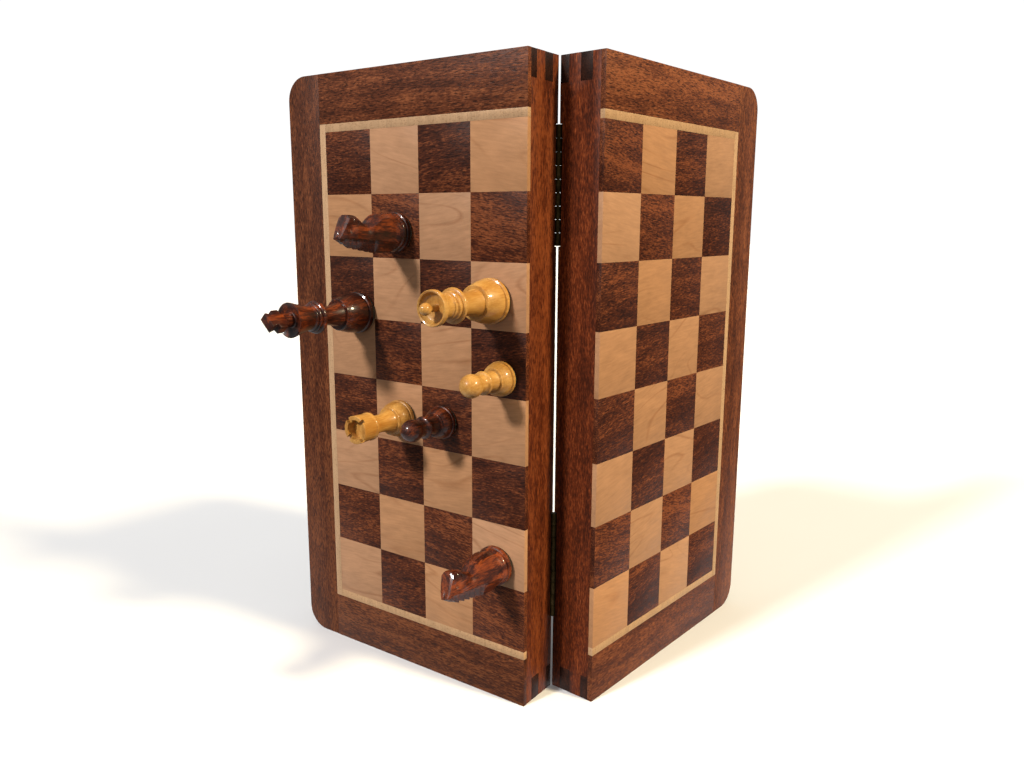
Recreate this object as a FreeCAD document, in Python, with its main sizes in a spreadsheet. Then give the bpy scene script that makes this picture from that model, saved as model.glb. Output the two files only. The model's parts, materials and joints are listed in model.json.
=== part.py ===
import FreeCAD, Part
import math
import os
import re
import Sketcher
from FreeCAD import Placement, Rotation, Vector

# A folding travel chess set: two shallow wooden boxes hinged along one long wall. Their outsides
# carry the board, four files each, and their insides store the men. It stands on one end, half
# folded, with some men held on the left board by the magnets in their bases.
#
# Each half is modelled in its own frame: X runs from the hinge axis out to the free edge, Y from
# the rim to the playing face, and Z along the hinge axis. One half is the other turned end for end.

DIMENSIONS = [
    # alias, millimetres, what it is
    ("square", 31.0, "side of one board square"),
    ("inlay", 4.0, "width of the pale inlay line round the squares"),
    ("end_border", 24.5, "border beyond the inlay at each end"),
    ("side_border", 22.5, "border beyond the inlay at the free edge"),
    ("half_depth", 24.4, "depth of one half, rim to playing face"),
    ("face_layer", 2.5, "thickness of the playing layer"),
    ("rail", 12.0, "thickness of the box walls"),
    ("corner", 12.0, "radius of the rounded outer corners"),
    ("spine_gap", 0.8, "gap between the spine walls when flat"),
    ("rim_gap", 0.4, "gap between the rims when closed"),
    ("first_finger", 4.4, "width of the box-joint finger under the playing layer"),
    ("finger", 6.4, "width of the other box-joint fingers"),
    ("panel", 2.2, "thickness of the backing panel"),
    ("steel", 0.5, "thickness of the steel sheet"),
    ("steel_inset", 2.2, "steel sheet edge from the spine wall's face"),
    ("steel_lap", 2.0, "steel sheet beyond the squares"),
    ("lining", 1.1, "thickness of the tray's lining"),
    ("divider_tall", 12.0, "height of the tray dividers"),
    ("divider", 3.0, "thickness of the cross dividers"),
    ("spine_divider", 4.0, "thickness of the long divider"),
    ("low_hinge", 65.3, "centre of the lower hinge above the bottom"),
    ("high_hinge", 56.5, "centre of the upper hinge below the top"),
    ("knuckle", 6.0, "length of one hinge knuckle"),
    ("knuckle_play", 0.1, "end play of a knuckle, each side"),
    ("barrel", 1.4, "radius of the hinge barrel"),
    ("barrel_room", 0.3, "clearance round the hinge barrel"),
    ("hinge_pin", 0.6, "radius of the hinge pin"),
    ("pin_play", 0.05, "radial clearance round the hinge pin"),
    ("leaf", 0.9, "thickness of a hinge leaf"),
    ("leaf_reach", 10.8, "edge of the hinge leaf from the hinge axis"),
    ("screw", 1.1, "radius of a hinge screw"),
    ("screw_head", 2.1, "radius of its countersunk head"),
    ("screw_deep", 8.0, "length of the screw in the wood"),
    ("screw_slot", 0.5, "width and depth of the screw's slot"),
    ("screw_pitch", 20.0, "distance between the screws of one leaf"),
    ("clasp_magnet", 3.0, "radius and depth of a closing magnet"),
    ("clasp_inset", 50.0, "closing magnet from the end of the box"),
    ("fold", 84.6, "angle still to open from the pose shown to flat"),
    ("felt", 0.9, "thickness of the felt under a man"),
    ("felt_play", 0.1, "air between a man's felt and the board"),
    ("glue", 0.02, "glue between a man's felt and its wood"),
    ("stored_play", 0.3, "air between a stored man and the tray"),
    ("end_play", 1.0, "air between a stored man's base and the end of its place"),
    ("king_tall", 59.9, "height of the king"),
    ("queen_tall", 49.5, "height of the queen"),
    ("bishop_tall", 43.0, "height of a bishop"),
    ("knight_tall", 40.4, "height of a knight"),
    ("rook_tall", 33.4, "height of a rook"),
    ("pawn_tall", 29.0, "height of a pawn"),
    ("big_magnet", 5.0, "radius of the magnet in a king, queen, bishop, knight or rook"),
    ("small_magnet", 4.0, "radius of the magnet in a pawn"),
    ("magnet_tall", 4.0, "length of a man's magnet"),
]
SIZE = {alias: number for alias, number, meaning in DIMENSIONS}

doc = FreeCAD.newDocument("FoldingChessSet")
dims = doc.addObject("Spreadsheet::Sheet", "Dims")
for row, (alias, number, meaning) in enumerate(DIMENSIONS, start=1):
    dims.set(f"A{row}", meaning)
    dims.set(f"B{row}", str(number))
    dims.setAlias(f"B{row}", alias)
doc.recompute()

# Stations of one half, as expressions over the sheet's cells.
EDGE = "spine_gap / 2"
RIM = "rim_gap / 2"
FACE = f"{RIM} + half_depth"
LAYER_BACK = f"{FACE} - face_layer"
PANEL_BACK = f"{LAYER_BACK} - panel"
TRAY_FLOOR = f"{PANEL_BACK} - lining"
SQUARES_END = f"{EDGE} + 4 * square"
INLAY_END = f"{SQUARES_END} + inlay"
FAR = f"{INLAY_END} + side_border"
BOTTOM = "0"
TOP = "8 * square + 2 * inlay + 2 * end_border"
SQUARES_LOW = "end_border + inlay"
SQUARES_HIGH = f"{TOP} - end_border - inlay"
TRAY_NEAR = f"{EDGE} + rail"
TRAY_FAR = f"{FAR} - rail"

LENGTH = 8 * SIZE["square"] + 2 * SIZE["inlay"] + 2 * SIZE["end_border"]
WIDTH = 4 * SIZE["square"] + SIZE["inlay"] + SIZE["side_border"]
EDGE_AT = SIZE["spine_gap"] / 2
FAR_AT = EDGE_AT + WIDTH
FACE_AT = SIZE["rim_gap"] / 2 + SIZE["half_depth"]
FLOOR_AT = FACE_AT - SIZE["face_layer"] - SIZE["panel"] - SIZE["lining"]
FOLD = math.radians(SIZE["fold"])

# The row's origin is under the middle of the box round everything, on the surface it stands on.
# The king reaches furthest forward, and the right half furthest right and back.
LOW_X = -FAR_AT
HIGH_X = FAR_AT * math.cos(FOLD) + FACE_AT * math.sin(FOLD)
LOW_Y = -FACE_AT - SIZE["king_tall"]
HIGH_Y = FAR_AT * math.sin(FOLD) - SIZE["rim_gap"] / 2 * math.cos(FOLD)
AXIS = Vector(-(LOW_X + HIGH_X) / 2, -(LOW_Y + HIGH_Y) / 2, 0)
LEFT = Placement(AXIS, Rotation(Vector(0, 0, 1), 180))
FOLD_TURN = Rotation(Vector(0, 0, 1), SIZE["fold"])
RIGHT = Placement(AXIS + Vector(0, 0, LENGTH), FOLD_TURN.multiply(Rotation(Vector(1, 0, 0), 180)))

DEPTHWISE = Rotation(Vector(1, 0, 0), -90)

exported = []


def cells(text):
    """Write an expression over the sheet's aliases in full."""
    return re.sub(r"[a-z_]+", lambda word: "Dims." + word.group(0), text)


def bind(item, **sizes):
    """Bind an object's properties to expressions over the sheet."""
    for name, text in sizes.items():
        item.setExpression(name, cells(text))


def put_at(item, x, y, z):
    """Bind where an object stands."""
    for axis, text in (("x", x), ("y", y), ("z", z)):
        item.setExpression(f"Placement.Base.{axis}", cells(text))


def box(name, x, y, z):
    """A block between a low and a high station on each axis."""
    block = doc.addObject("Part::Box", name)
    sides = [f"({high}) - ({low})" for low, high in (x, y, z)]
    bind(block, Length=sides[0], Width=sides[1], Height=sides[2])
    put_at(block, x[0], y[0], z[0])
    return block


def rod(name, radius, length, x, y, z, turn=None):
    """A cylinder along Z, or along the direction that a turn gives it."""
    cylinder = doc.addObject("Part::Cylinder", name)
    if turn:
        cylinder.Placement.Rotation = turn
    bind(cylinder, Radius=radius, Height=length)
    put_at(cylinder, x, y, z)
    return cylinder


def cut(name, base, tools):
    """A base with every tool taken out of it."""
    for number, tool in enumerate(tools, start=1):
        result = doc.addObject("Part::Cut", f"{name}_cut_{number}")
        result.Base = base
        result.Tool = tool
        base = result
    return base


def join(name, pieces):
    """Overlapping pieces made into one solid."""
    result = doc.addObject("Part::MultiFuse", name)
    result.Shapes = pieces
    return result


def common(name, first, second):
    """What two solids share."""
    result = doc.addObject("Part::Common", name)
    result.Base = first
    result.Tool = second
    return result


def finish(node, pieces, placement):
    """A sub-part: one or more separate solids, labelled with its node's name and put in place."""
    group = doc.addObject("Part::Compound", "Node_" + node)
    group.Links = pieces
    group.Label = node
    group.Placement = placement
    exported.append(group)
    return group


def finish_body(body, node, placement):
    """A sub-part that is a single PartDesign body."""
    body.Label = node
    body.Placement = placement
    exported.append(body)


# ---------------------------------------------------------------- one half of the folding box


def finger_zones():
    """Depth ranges of the four box-joint fingers, from the playing layer to the rim."""
    first = f"{LAYER_BACK} - first_finger"
    second = f"{first} - finger"
    third = f"{second} - finger"
    return [(first, LAYER_BACK), (second, first), (third, second), (RIM, third)]


def corner_fingers(side, name, x, z, end_rail_first):
    """Blocks at a box corner: those that the end rail keeps, then those that the long rail keeps."""
    kept = {True: [], False: []}
    for number, zone in enumerate(finger_zones()):
        block = box(f"{side}_{name}_finger_{number}", x, zone, z)
        of_end_rail = (number % 2 == 0) == end_rail_first
        kept[of_end_rail].append(block)
    return kept[True], kept[False]


def outline(side):
    """The half's outline with its two rounded outer corners, through its whole depth."""
    depth = (RIM, FACE)
    pieces = [
        box(f"{side}_outline_wide", (EDGE, f"{FAR} - corner"), depth, (BOTTOM, TOP)),
        box(f"{side}_outline_long", (EDGE, FAR), depth, ("corner", f"{TOP} - corner")),
    ]
    for number, z in enumerate(("corner", f"{TOP} - corner")):
        name = f"{side}_outline_corner_{number}"
        pieces.append(rod(name, "corner", f"({FACE}) - ({RIM})", f"{FAR} - corner", RIM, z, DEPTHWISE))
    return join(f"{side}_outline", pieces)


def hinge_centres(side):
    """A half's hinges, from its own lower end: name, height, and the knuckles that it carries."""
    first, last = ("low_hinge", "high_hinge") if side == "left" else ("high_hinge", "low_hinge")
    return [("lower", first, range(1, 9, 2)), ("upper", f"{TOP} - {last}", range(0, 9, 2))]


def hinge_range(centre):
    return f"{centre} - 4.5 * knuckle", f"{centre} + 4.5 * knuckle"


def screw_places(side):
    """Every hinge screw of a half: a name and its height."""
    for hinge, centre, knuckles in hinge_centres(side):
        for step in (-1, 0, 1):
            yield f"{hinge}_{step + 1}", f"{centre} + {step} * screw_pitch"


def screw_solid(side, name, height):
    """A countersunk wood screw, its head flush with the rim."""
    across = "(barrel + barrel_room + leaf_reach) / 2"
    head = doc.addObject("Part::Cone", f"{side}_{name}_head")
    head.Placement.Rotation = DEPTHWISE
    bind(head, Radius1="screw_head", Radius2="screw", Height="leaf")
    put_at(head, across, RIM, height)
    shank = rod(f"{side}_{name}_shank", "screw", "leaf + screw_deep", across, RIM, height, DEPTHWISE)
    return join(f"{side}_{name}_solid", [head, shank])


def slotted(side, name, solid, height):
    """The same screw with its driving slot."""
    across = "(barrel + barrel_room + leaf_reach) / 2"
    slot = box(f"{side}_{name}_slot", (f"{across} - screw_slot / 2", f"{across} + screw_slot / 2"),
               (RIM, f"{RIM} + screw_slot"), (f"{height} - screw_head", f"{height} + screw_head"))
    return cut(f"{side}_{name}", solid, [slot])


def steel_block(side):
    return box(f"{side}_steel", (f"{EDGE} + steel_inset", f"{SQUARES_END} + steel_lap"),
               (f"{LAYER_BACK} - steel", LAYER_BACK),
               (f"{SQUARES_LOW} - steel_lap", f"{SQUARES_HIGH} + steel_lap"))


def magnet_holes(side, purpose):
    """Closing magnets sit flush in the rim of the free rail."""
    holes = []
    for number, z in enumerate(("clasp_inset", f"{TOP} - clasp_inset")):
        name = f"{side}_{purpose}_{number}"
        holes.append(rod(name, "clasp_magnet", "clasp_magnet", f"{FAR} - rail / 2", RIM, z, DEPTHWISE))
    return holes


def hinge_leaf(side, hinge, centre, knuckles, screws):
    """A leaf with its own knuckles, bored for the pin and countersunk for three screws."""
    start, end = hinge_range(centre)
    depth = (RIM, f"{RIM} + leaf")
    pieces = [box(f"{side}_{hinge}_plate", ("barrel + barrel_room", "leaf_reach"), depth, (start, end))]
    for knuckle in knuckles:
        low = f"{start} + {knuckle} * knuckle + knuckle_play"
        high = f"{start} + {knuckle + 1} * knuckle - knuckle_play"
        name = f"{side}_{hinge}_knuckle_{knuckle}"
        pieces.append(rod(f"{name}_barrel", "barrel", f"({high}) - ({low})", "0", "0", low))
        pieces.append(box(f"{name}_web", ("hinge_pin", "barrel + barrel_room + leaf"), depth, (low, high)))
    bore = rod(f"{side}_{hinge}_bore", "hinge_pin + pin_play", "9 * knuckle", "0", "0", start)
    return cut(f"{side}_{hinge}_leaf", join(f"{side}_{hinge}_leaf_solid", pieces), [bore] + screws)


def make_rails(side, placement, shape, steel, screws):
    """The four walls of the box, finger-jointed at the corners."""
    low_end = (BOTTOM, "rail")
    high_end = (f"{TOP} - rail", TOP)
    near = (EDGE, TRAY_NEAR)
    far = (TRAY_FAR, FAR)
    full_depth = (RIM, LAYER_BACK)
    end_near_top, spine_top = corner_fingers(side, "near_top", near, high_end, True)
    end_near_low, spine_low = corner_fingers(side, "near_low", near, low_end, False)
    end_far_top, free_top = corner_fingers(side, "far_top", far, high_end, True)
    end_far_low, free_low = corner_fingers(side, "far_low", far, low_end, False)

    mortises = []
    for hinge, centre, knuckles in hinge_centres(side):
        start, end = hinge_range(centre)
        leaf_room = box(f"{side}_{hinge}_mortise", (EDGE, "leaf_reach"), (RIM, f"{RIM} + leaf"), (start, end))
        length = "9 * knuckle + 2 * barrel_room"
        low = f"{start} - barrel_room"
        mortises += [leaf_room, rod(f"{side}_{hinge}_notch", "barrel + barrel_room", length, "0", "0", low)]
    spine = box(f"{side}_spine_blank", near, full_depth, (BOTTOM, TOP))
    spine = cut(f"{side}_spine", spine, end_near_top + end_near_low + mortises + screws + [steel])
    finish(f"{side}_spine_rail", [spine], placement)

    free = common(f"{side}_free_round", box(f"{side}_free_blank", far, full_depth, (BOTTOM, TOP)), shape)
    free = cut(f"{side}_free", free, end_far_top + end_far_low + magnet_holes(side, "magnet_hole"))
    finish(f"{side}_outer_rail", [free], placement)

    ends = [("upper", high_end, spine_top + free_top), ("lower", low_end, spine_low + free_low)]
    for level, heights, fingers in ends:
        blank = box(f"{side}_{level}_end_blank", (EDGE, FAR), full_depth, heights)
        blank = common(f"{side}_{level}_end_round", blank, shape)
        end = cut(f"{side}_{level}_end", blank, fingers)
        finish(f"{side}_{level}_end_rail", [end], placement)


def make_board(side, placement, shape):
    """The playing layer: squares, inlay lines and border strips laid edge to edge."""
    layer = (LAYER_BACK, FACE)
    colours = {"dark": [], "light": []}
    for column in range(4):
        for level in range(8):
            colour = "light" if (column + level) % 2 else "dark"
            x = (f"{EDGE} + {column} * square", f"{EDGE} + {column + 1} * square")
            z = (f"{SQUARES_LOW} + {level} * square", f"{SQUARES_LOW} + {level + 1} * square")
            colours[colour].append(box(f"{side}_{colour}_{column}_{level}", x, layer, z))
    for colour, squares in colours.items():
        finish(f"{side}_{colour}_squares", squares, placement)

    inlays = [
        box(f"{side}_inlay_long", (SQUARES_END, INLAY_END), layer, ("end_border", f"{TOP} - end_border")),
        box(f"{side}_inlay_low", (EDGE, SQUARES_END), layer, ("end_border", SQUARES_LOW)),
        box(f"{side}_inlay_high", (EDGE, SQUARES_END), layer, (SQUARES_HIGH, f"{TOP} - end_border")),
    ]
    finish(f"{side}_inlay", inlays, placement)

    strip = box(f"{side}_border_long_blank", (INLAY_END, FAR), layer, (BOTTOM, TOP))
    borders = [
        common(f"{side}_border_long", strip, shape),
        box(f"{side}_border_low", (EDGE, INLAY_END), layer, (BOTTOM, "end_border")),
        box(f"{side}_border_high", (EDGE, INLAY_END), layer, (f"{TOP} - end_border", TOP)),
    ]
    finish(f"{side}_border", borders, placement)


def make_tray(side, placement, steel):
    """Behind the board: the steel sheet, its backing panel, and the lined tray for the men."""
    inside = (TRAY_NEAR, TRAY_FAR)
    heights = ("rail", f"{TOP} - rail")
    finish(f"{side}_steel_sheet", [steel], placement)
    panel = box(f"{side}_panel_blank", inside, (PANEL_BACK, LAYER_BACK), heights)
    finish(f"{side}_base_panel", [cut(f"{side}_panel", panel, [steel])], placement)

    middle = f"(({TRAY_NEAR}) + ({TRAY_FAR})) / 2"
    bar_depth = (f"{TRAY_FLOOR} - divider_tall", TRAY_FLOOR)
    long_bar = (f"{middle} - spine_divider / 2", f"{middle} + spine_divider / 2")
    pieces = [
        box(f"{side}_lining", inside, (TRAY_FLOOR, PANEL_BACK), heights),
        box(f"{side}_long_divider", long_bar, bar_depth, heights),
    ]
    for level in range(1, 8):
        height = f"rail + {level} * (({TOP}) - 2 * rail) / 8"
        z = (f"{height} - divider / 2", f"{height} + divider / 2")
        pieces.append(box(f"{side}_near_divider_{level}", (TRAY_NEAR, long_bar[0]), bar_depth, z))
        pieces.append(box(f"{side}_far_divider_{level}", (long_bar[1], TRAY_FAR), bar_depth, z))
    finish(f"{side}_storage_insert", pieces, placement)


def make_half(side, placement):
    """Every sub-part of one half."""
    shape = outline(side)
    steel = steel_block(side)
    heights = dict(screw_places(side))
    solids = {name: screw_solid(side, name, height) for name, height in heights.items()}
    make_rails(side, placement, shape, steel, list(solids.values()))
    make_board(side, placement, shape)
    make_tray(side, placement, steel)
    finish(f"{side}_closing_magnets", magnet_holes(side, "magnet"), placement)
    leaves = []
    for hinge, centre, knuckles in hinge_centres(side):
        own = [solid for name, solid in solids.items() if name.startswith(hinge)]
        leaves.append(hinge_leaf(side, hinge, centre, knuckles, own))
    finish(f"{side}_hinge_leaves", leaves, placement)
    screws = [slotted(side, name, solid, heights[name]) for name, solid in solids.items()]
    finish(f"{side}_hinge_screws", screws, placement)


# ---------------------------------------------------------------- the chessmen

# A turned outline is (radius, height) points in hundredths of the man's height, going up. A third
# number makes the stretch to that point an arc that bulges outwards (positive) or inwards
# (negative) by that share of half its chord. The wood starts above the felt.


def foot(kind, radius, plate):
    """The plate on the felt and the groove above it, which all the men share."""
    felt = 100 * (SIZE["felt_play"] + SIZE["felt"] + SIZE["glue"]) / SIZE[kind + "_tall"]
    return [
        (radius * 0.975, felt),
        (radius, felt + 0.25 * plate, 0.4),
        (radius, felt + 0.85 * plate),
        (radius * 0.9, felt + 1.05 * plate),
        (radius * 0.965, felt + 1.3 * plate),
    ]


def ball(neck, radius, top):
    """A sphere on the axis, from the neck below it to its top."""
    below = math.sqrt(radius * radius - neck * neck)
    sweep = math.pi / 2 + math.acos(neck / radius)
    return [(neck, top - radius - below), (0, top, math.tan(sweep / 4))]


OUTLINES = {
    "king": foot("king", 17.4, 4.6) + [
        (13.0, 25.4, 0.11), (12.6, 27.4, 0.5), (10.3, 27.2), (9.8, 29.0), (7.4, 45.0, -0.08),
        (8.6, 48.4, -0.2), (12.8, 50.0), (13.4, 51.4, 0.5), (12.4, 53.0, 0.3), (11.2, 53.6),
        (12.0, 55.2, 0.5), (10.9, 56.4, 0.4),
        (10.2, 56.8), (10.6, 58.2, 0.5), (9.7, 59.2), (14.0, 77.6, -0.03), (14.1, 78.4), (13.4, 78.6),
        (6.4, 76.6, -0.15), (5.6, 77.2), (5.6, 84.6), (0, 84.6)],
    "queen": foot("queen", 21.2, 5.0) + [
        (16.2, 25.6, 0.11), (15.8, 27.8, 0.5), (12.9, 27.5), (12.2, 29.4), (10.5, 47.6, -0.06),
        (11.6, 53.0, -0.15), (15.4, 57.0), (15.9, 58.4, 0.5), (15.0, 60.0, 0.3), (12.2, 60.6),
        (13.3, 62.6, 0.5), (12.3, 64.4, 0.5), (11.1, 65.2), (11.8, 67.0, 0.5), (10.8, 68.6, 0.5),
        (10.3, 70.0), (10.9, 73.0), (15.2, 82.4, -0.12), (15.9, 83.4, 0.3), (15.8, 87.0), (15.0, 87.8, 0.4),
        (13.8, 87.2), (11.2, 82.6, -0.15), (3.4, 80.8, -0.1), (2.9, 88.0)] + ball(2.9, 5.4, 100.0),
    "bishop": foot("bishop", 22.0, 5.6) + [
        (17.2, 25.0, 0.14), (16.8, 27.4, 0.5), (13.7, 27.2), (13.1, 29.0), (10.0, 45.0, -0.08),
        (10.8, 48.0, -0.15), (14.6, 50.6), (14.8, 52.0, 0.5), (13.8, 53.6, 0.3), (11.4, 54.4),
        (12.0, 56.4, 0.5), (10.0, 58.4, 0.4), (8.8, 61.0), (13.0, 70.0, 0.28), (5.2, 89.0, 0.24),
        (3.2, 91.0)] + ball(3.2, 4.4, 100.0),
    "rook": foot("rook", 27.6, 6.6) + [
        (21.0, 27.0, 0.18), (20.2, 30.0, 0.5), (17.5, 29.8), (16.9, 31.8), (13.7, 60.0, -0.12),
        (14.2, 66.0, -0.1), (18.6, 70.0, -0.2), (20.2, 71.0, 0.4), (20.4, 74.4, 0.3), (19.7, 75.4),
        (20.8, 99.0), (20.2, 100.0, 0.4), (14.8, 100.0), (14.4, 87.0), (0, 87.0)],
    "pawn": foot("pawn", 28.1, 6.6) + [
        (20.6, 27.0, 0.18), (19.8, 30.0, 0.5), (16.5, 29.8), (15.9, 31.8), (13.8, 46.0, -0.1),
        (14.6, 49.4, -0.15), (18.2, 52.0), (18.6, 54.0, 0.5), (17.4, 56.4, 0.3), (14.2, 59.0, -0.1),
        (13.6, 62.0), (13.4, 65.0)] + ball(13.4, 18.6, 100.0),
    "knight": foot("knight", 24.0, 6.0) + [(21.4, 14.5, 0.2), (12.0, 20.5, 0.25), (0, 20.5)],
}
MAGNETS = {"king": "big_magnet", "queen": "big_magnet", "bishop": "big_magnet",
           "knight": "big_magnet", "rook": "big_magnet", "pawn": "small_magnet"}


def origin_plane(body, role):
    return next(plane for plane in body.Origin.OriginFeatures if plane.Role == role)


def flat_sketch(body, name, role):
    """A sketch on one of the body's own origin planes."""
    sketch = body.newObject("Sketcher::SketchObject", name)
    sketch.AttachmentSupport = [(origin_plane(body, role), "")]
    sketch.MapMode = "FlatFace"
    return sketch


def arc_through(start, end, bulge):
    """An anticlockwise arc; a positive bulge runs from start to end, a negative one back again."""
    half = (end - start) / 2
    side = Vector(half.y, -half.x, 0).normalize()
    radius = half.Length * (1 + bulge * bulge) / (2 * bulge)
    centre = start + half + side * (bulge * half.Length - radius)
    first, last = (start, end) if bulge > 0 else (end, start)
    angles = [math.atan2(place.y - centre.y, place.x - centre.x) for place in (first, last)]
    if angles[1] < angles[0]:
        angles[1] += 2 * math.pi
    circle = Part.Circle(centre, Vector(0, 0, 1), abs(radius))
    return Part.ArcOfCircle(circle, angles[0], angles[1])


def trace(sketch, points, scale):
    """Draw a closed outline of lines and arcs, its points in hundredths of one cell.

    An arc that ends on the upright axis has its centre on it, so that it turns into a true sphere.
    """
    unit = SIZE[scale] / 100
    places = [Vector(point[0] * unit, point[1] * unit, 0) for point in points]
    bulges = [point[2] if len(point) == 3 else 0 for point in points]
    for number, bulge in enumerate(bulges):
        start = places[number - 1]
        end = places[number]
        sketch.addGeometry(arc_through(start, end, bulge) if bulge else Part.LineSegment(start, end), False)
    constraints = []
    bound = []
    for number, bulge in enumerate(bulges):
        following = (number + 1) % len(points)
        ends_at = 1 if bulge < 0 else 2
        starts_at = 2 if bulges[following] < 0 else 1
        constraints.append(Sketcher.Constraint("Coincident", number, ends_at, following, starts_at))
        for kind, share in (("DistanceX", points[number][0]), ("DistanceY", points[number][1])):
            length = abs(share) * unit
            ends = (number, ends_at, -1, 1) if share < 0 else (-1, 1, number, ends_at)
            bound.append((len(constraints), abs(share) / 100))
            constraints.append(Sketcher.Constraint(kind, *ends, length))
        if bulge and points[number][0] == 0:
            constraints.append(Sketcher.Constraint("PointOnObject", number, 3, -2))
        elif bulge:
            radius = sketch.Geometry[number].Radius
            bound.append((len(constraints), radius / SIZE[scale]))
            constraints.append(Sketcher.Constraint("Radius", number, radius))
    sketch.addConstraint(constraints)
    for number, share in bound:
        sketch.setExpression(f"Constraints[{number}]", cells(f"{scale} * {share:.8f}"))


def turned_body(kind, name):
    """A man's turned wood, as one revolution."""
    body = doc.addObject("PartDesign::Body", name)
    sketch = flat_sketch(body, name + "_outline", "XZ_Plane")
    points = OUTLINES[kind]
    start = (0, points[0][1])
    trace(sketch, [start] + points, kind + "_tall")
    turned = body.newObject("PartDesign::Revolution", name + "_turned")
    turned.Profile = (sketch, [""])
    turned.ReferenceAxis = (sketch, ["V_Axis"])
    turned.Angle = 360
    return body


def pocket(body, name, points, scale, plane):
    """Cut an outline, drawn on an origin plane, right through the body."""
    sketch = flat_sketch(body, name + "_outline", plane)
    trace(sketch, points, scale)
    hollow = body.newObject("PartDesign::Pocket", name)
    hollow.Profile = (sketch, [""])
    hollow.Type = "ThroughAll"
    hollow.Midplane = True
    return hollow


def magnet_recess(body, name, kind):
    """The blind hole in the foot that takes the magnet."""
    sketch = flat_sketch(body, name + "_recess_outline", "XY_Plane")
    sketch.addGeometry(Part.Circle(Vector(0, 0, 0), Vector(0, 0, 1), SIZE[MAGNETS[kind]]), False)
    sketch.addConstraint(Sketcher.Constraint("Coincident", 0, 3, -1, 1))
    number = sketch.addConstraint(Sketcher.Constraint("Radius", 0, SIZE[MAGNETS[kind]]))
    sketch.setExpression(f"Constraints[{number}]", cells(MAGNETS[kind]))
    recess = body.newObject("PartDesign::Pocket", name + "_recess")
    recess.Profile = (sketch, [""])
    recess.Reversed = True
    recess.setExpression("Length", cells("felt + felt_play + magnet_tall"))
    return recess


def king_cross(body, name):
    """A plain cross block on the crown."""
    points = [(-5.4, 83.4), (5.4, 83.4), (4.6, 86.0), (8.6, 87.0), (8.6, 93.4), (5.0, 94.0), (6.8, 100.0),
              (-6.8, 100.0), (-5.0, 94.0), (-8.6, 93.4), (-8.6, 87.0), (-4.6, 86.0)]
    sketch = flat_sketch(body, name + "_cross_outline", "YZ_Plane")
    trace(sketch, points, "king_tall")
    cross = body.newObject("PartDesign::Pad", name + "_cross")
    cross.Profile = (sketch, [""])
    cross.Midplane = True
    cross.setExpression("Length", cells("king_tall * 0.08"))


def rook_notches(body, name):
    """Two crossing saw cuts make four notches in the turret."""
    for number, plane in enumerate(("XZ_Plane", "YZ_Plane")):
        points = [(-3.0, 95.0), (3.0, 95.0), (3.0, 102.0), (-3.0, 102.0)]
        pocket(body, f"{name}_notch_{number}", points, "rook_tall", plane)


def bishop_slit(body, name):
    """The slanting cut in the mitre."""
    points = [(2.0, 76.0), (16.0, 84.0), (15.0, 87.4), (1.0, 79.4)]
    pocket(body, name + "_slit", points, "bishop_tall", "YZ_Plane")


def knight_head(body, name):
    """A horse's head from the side, facing +Y, then narrowed towards the muzzle and ears."""
    side_view = [
        (-22.4, 13.5), (22.4, 13.5), (21.8, 30.0, 0.1), (19.2, 44.0, 0.1), (9.0, 58.0, -0.1), (12.0, 66.0),
        (18.6, 75.0, 0.2), (19.8, 86.6, 0.2), (-7.0, 100.0), (-16.0, 86.6, 0.1), (-19.6, 67.8),
        (-22.6, 50.0, -0.08)]
    sketch = flat_sketch(body, name + "_head_outline", "YZ_Plane")
    trace(sketch, side_view, "knight_tall")
    head = body.newObject("PartDesign::Pad", name + "_head")
    head.Profile = (sketch, [""])
    head.Midplane = True
    head.setExpression("Length", cells("knight_tall * 0.36"))
    for number, way in enumerate((1, -1)):
        waste = [(18.5 * way, 18.0), (30.0 * way, 18.0), (30.0 * way, 104.0), (7.0 * way, 104.0),
                 (11.0 * way, 56.0)]
        pocket(body, f"{name}_waste_{number}", waste, "knight_tall", "XZ_Plane")


DETAILS = {"king": king_cross, "rook": rook_notches, "bishop": bishop_slit, "knight": knight_head}


def make_man(kind, name):
    """The wood of one man, standing on the origin with its felt's air below it."""
    body = turned_body(kind, name)
    if kind in DETAILS:
        DETAILS[kind](body, name)
    recess = magnet_recess(body, name, kind)
    body.Tip = recess
    return body


def on_board(x, z):
    """Where a man stands on the left board: x from the spine wall's face, z up the board."""
    upright = Placement(Vector(EDGE_AT + x, FACE_AT, z), Rotation(Vector(1, 0, 0), -90))
    return LEFT.multiply(upright)


# Men on the left board: name, kind, distance from the spine, height, and turn about their own axis.
DISPLAYED = [
    ("dark_knight_a", "knight", 76.0, 227.1, 180),
    ("dark_king", "king", 102.7, 186.5, 45),
    ("light_queen", "queen", 18.5, 197.0, 0),
    ("light_pawn", "pawn", 12.8, 161.7, 0),
    ("light_rook", "rook", 75.5, 134.6, 45),
    ("dark_pawn", "pawn", 48.0, 136.3, 0),
    ("dark_knight_b", "knight", 16.2, 70.0, 195),
]


def make_displayed():
    """Each man on the board is its wood, its magnet and its felt."""
    bodies = {}
    for name, kind, x, z, turn in DISPLAYED:
        place = on_board(x, z).multiply(Placement(Vector(0, 0, 0), Rotation(Vector(0, 0, 1), turn)))
        wood = make_man(kind, name)
        finish_body(wood, name, place)
        bodies[kind] = wood
        radius = MAGNETS[kind]
        slug = rod(name + "_slug", radius, "magnet_tall", "0", "0", "felt + felt_play")
        finish(name + "_magnet", [slug], place)
        foot_share = OUTLINES[kind][0][0] / 100 * 0.985
        pad = rod(name + "_pad", f"{kind}_tall * {foot_share:.5f}", "felt", "0", "0", "felt_play")
        finish(name + "_felt", [pad], place)
    return bodies


# ---------------------------------------------------------------- the men stored in the trays

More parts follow.
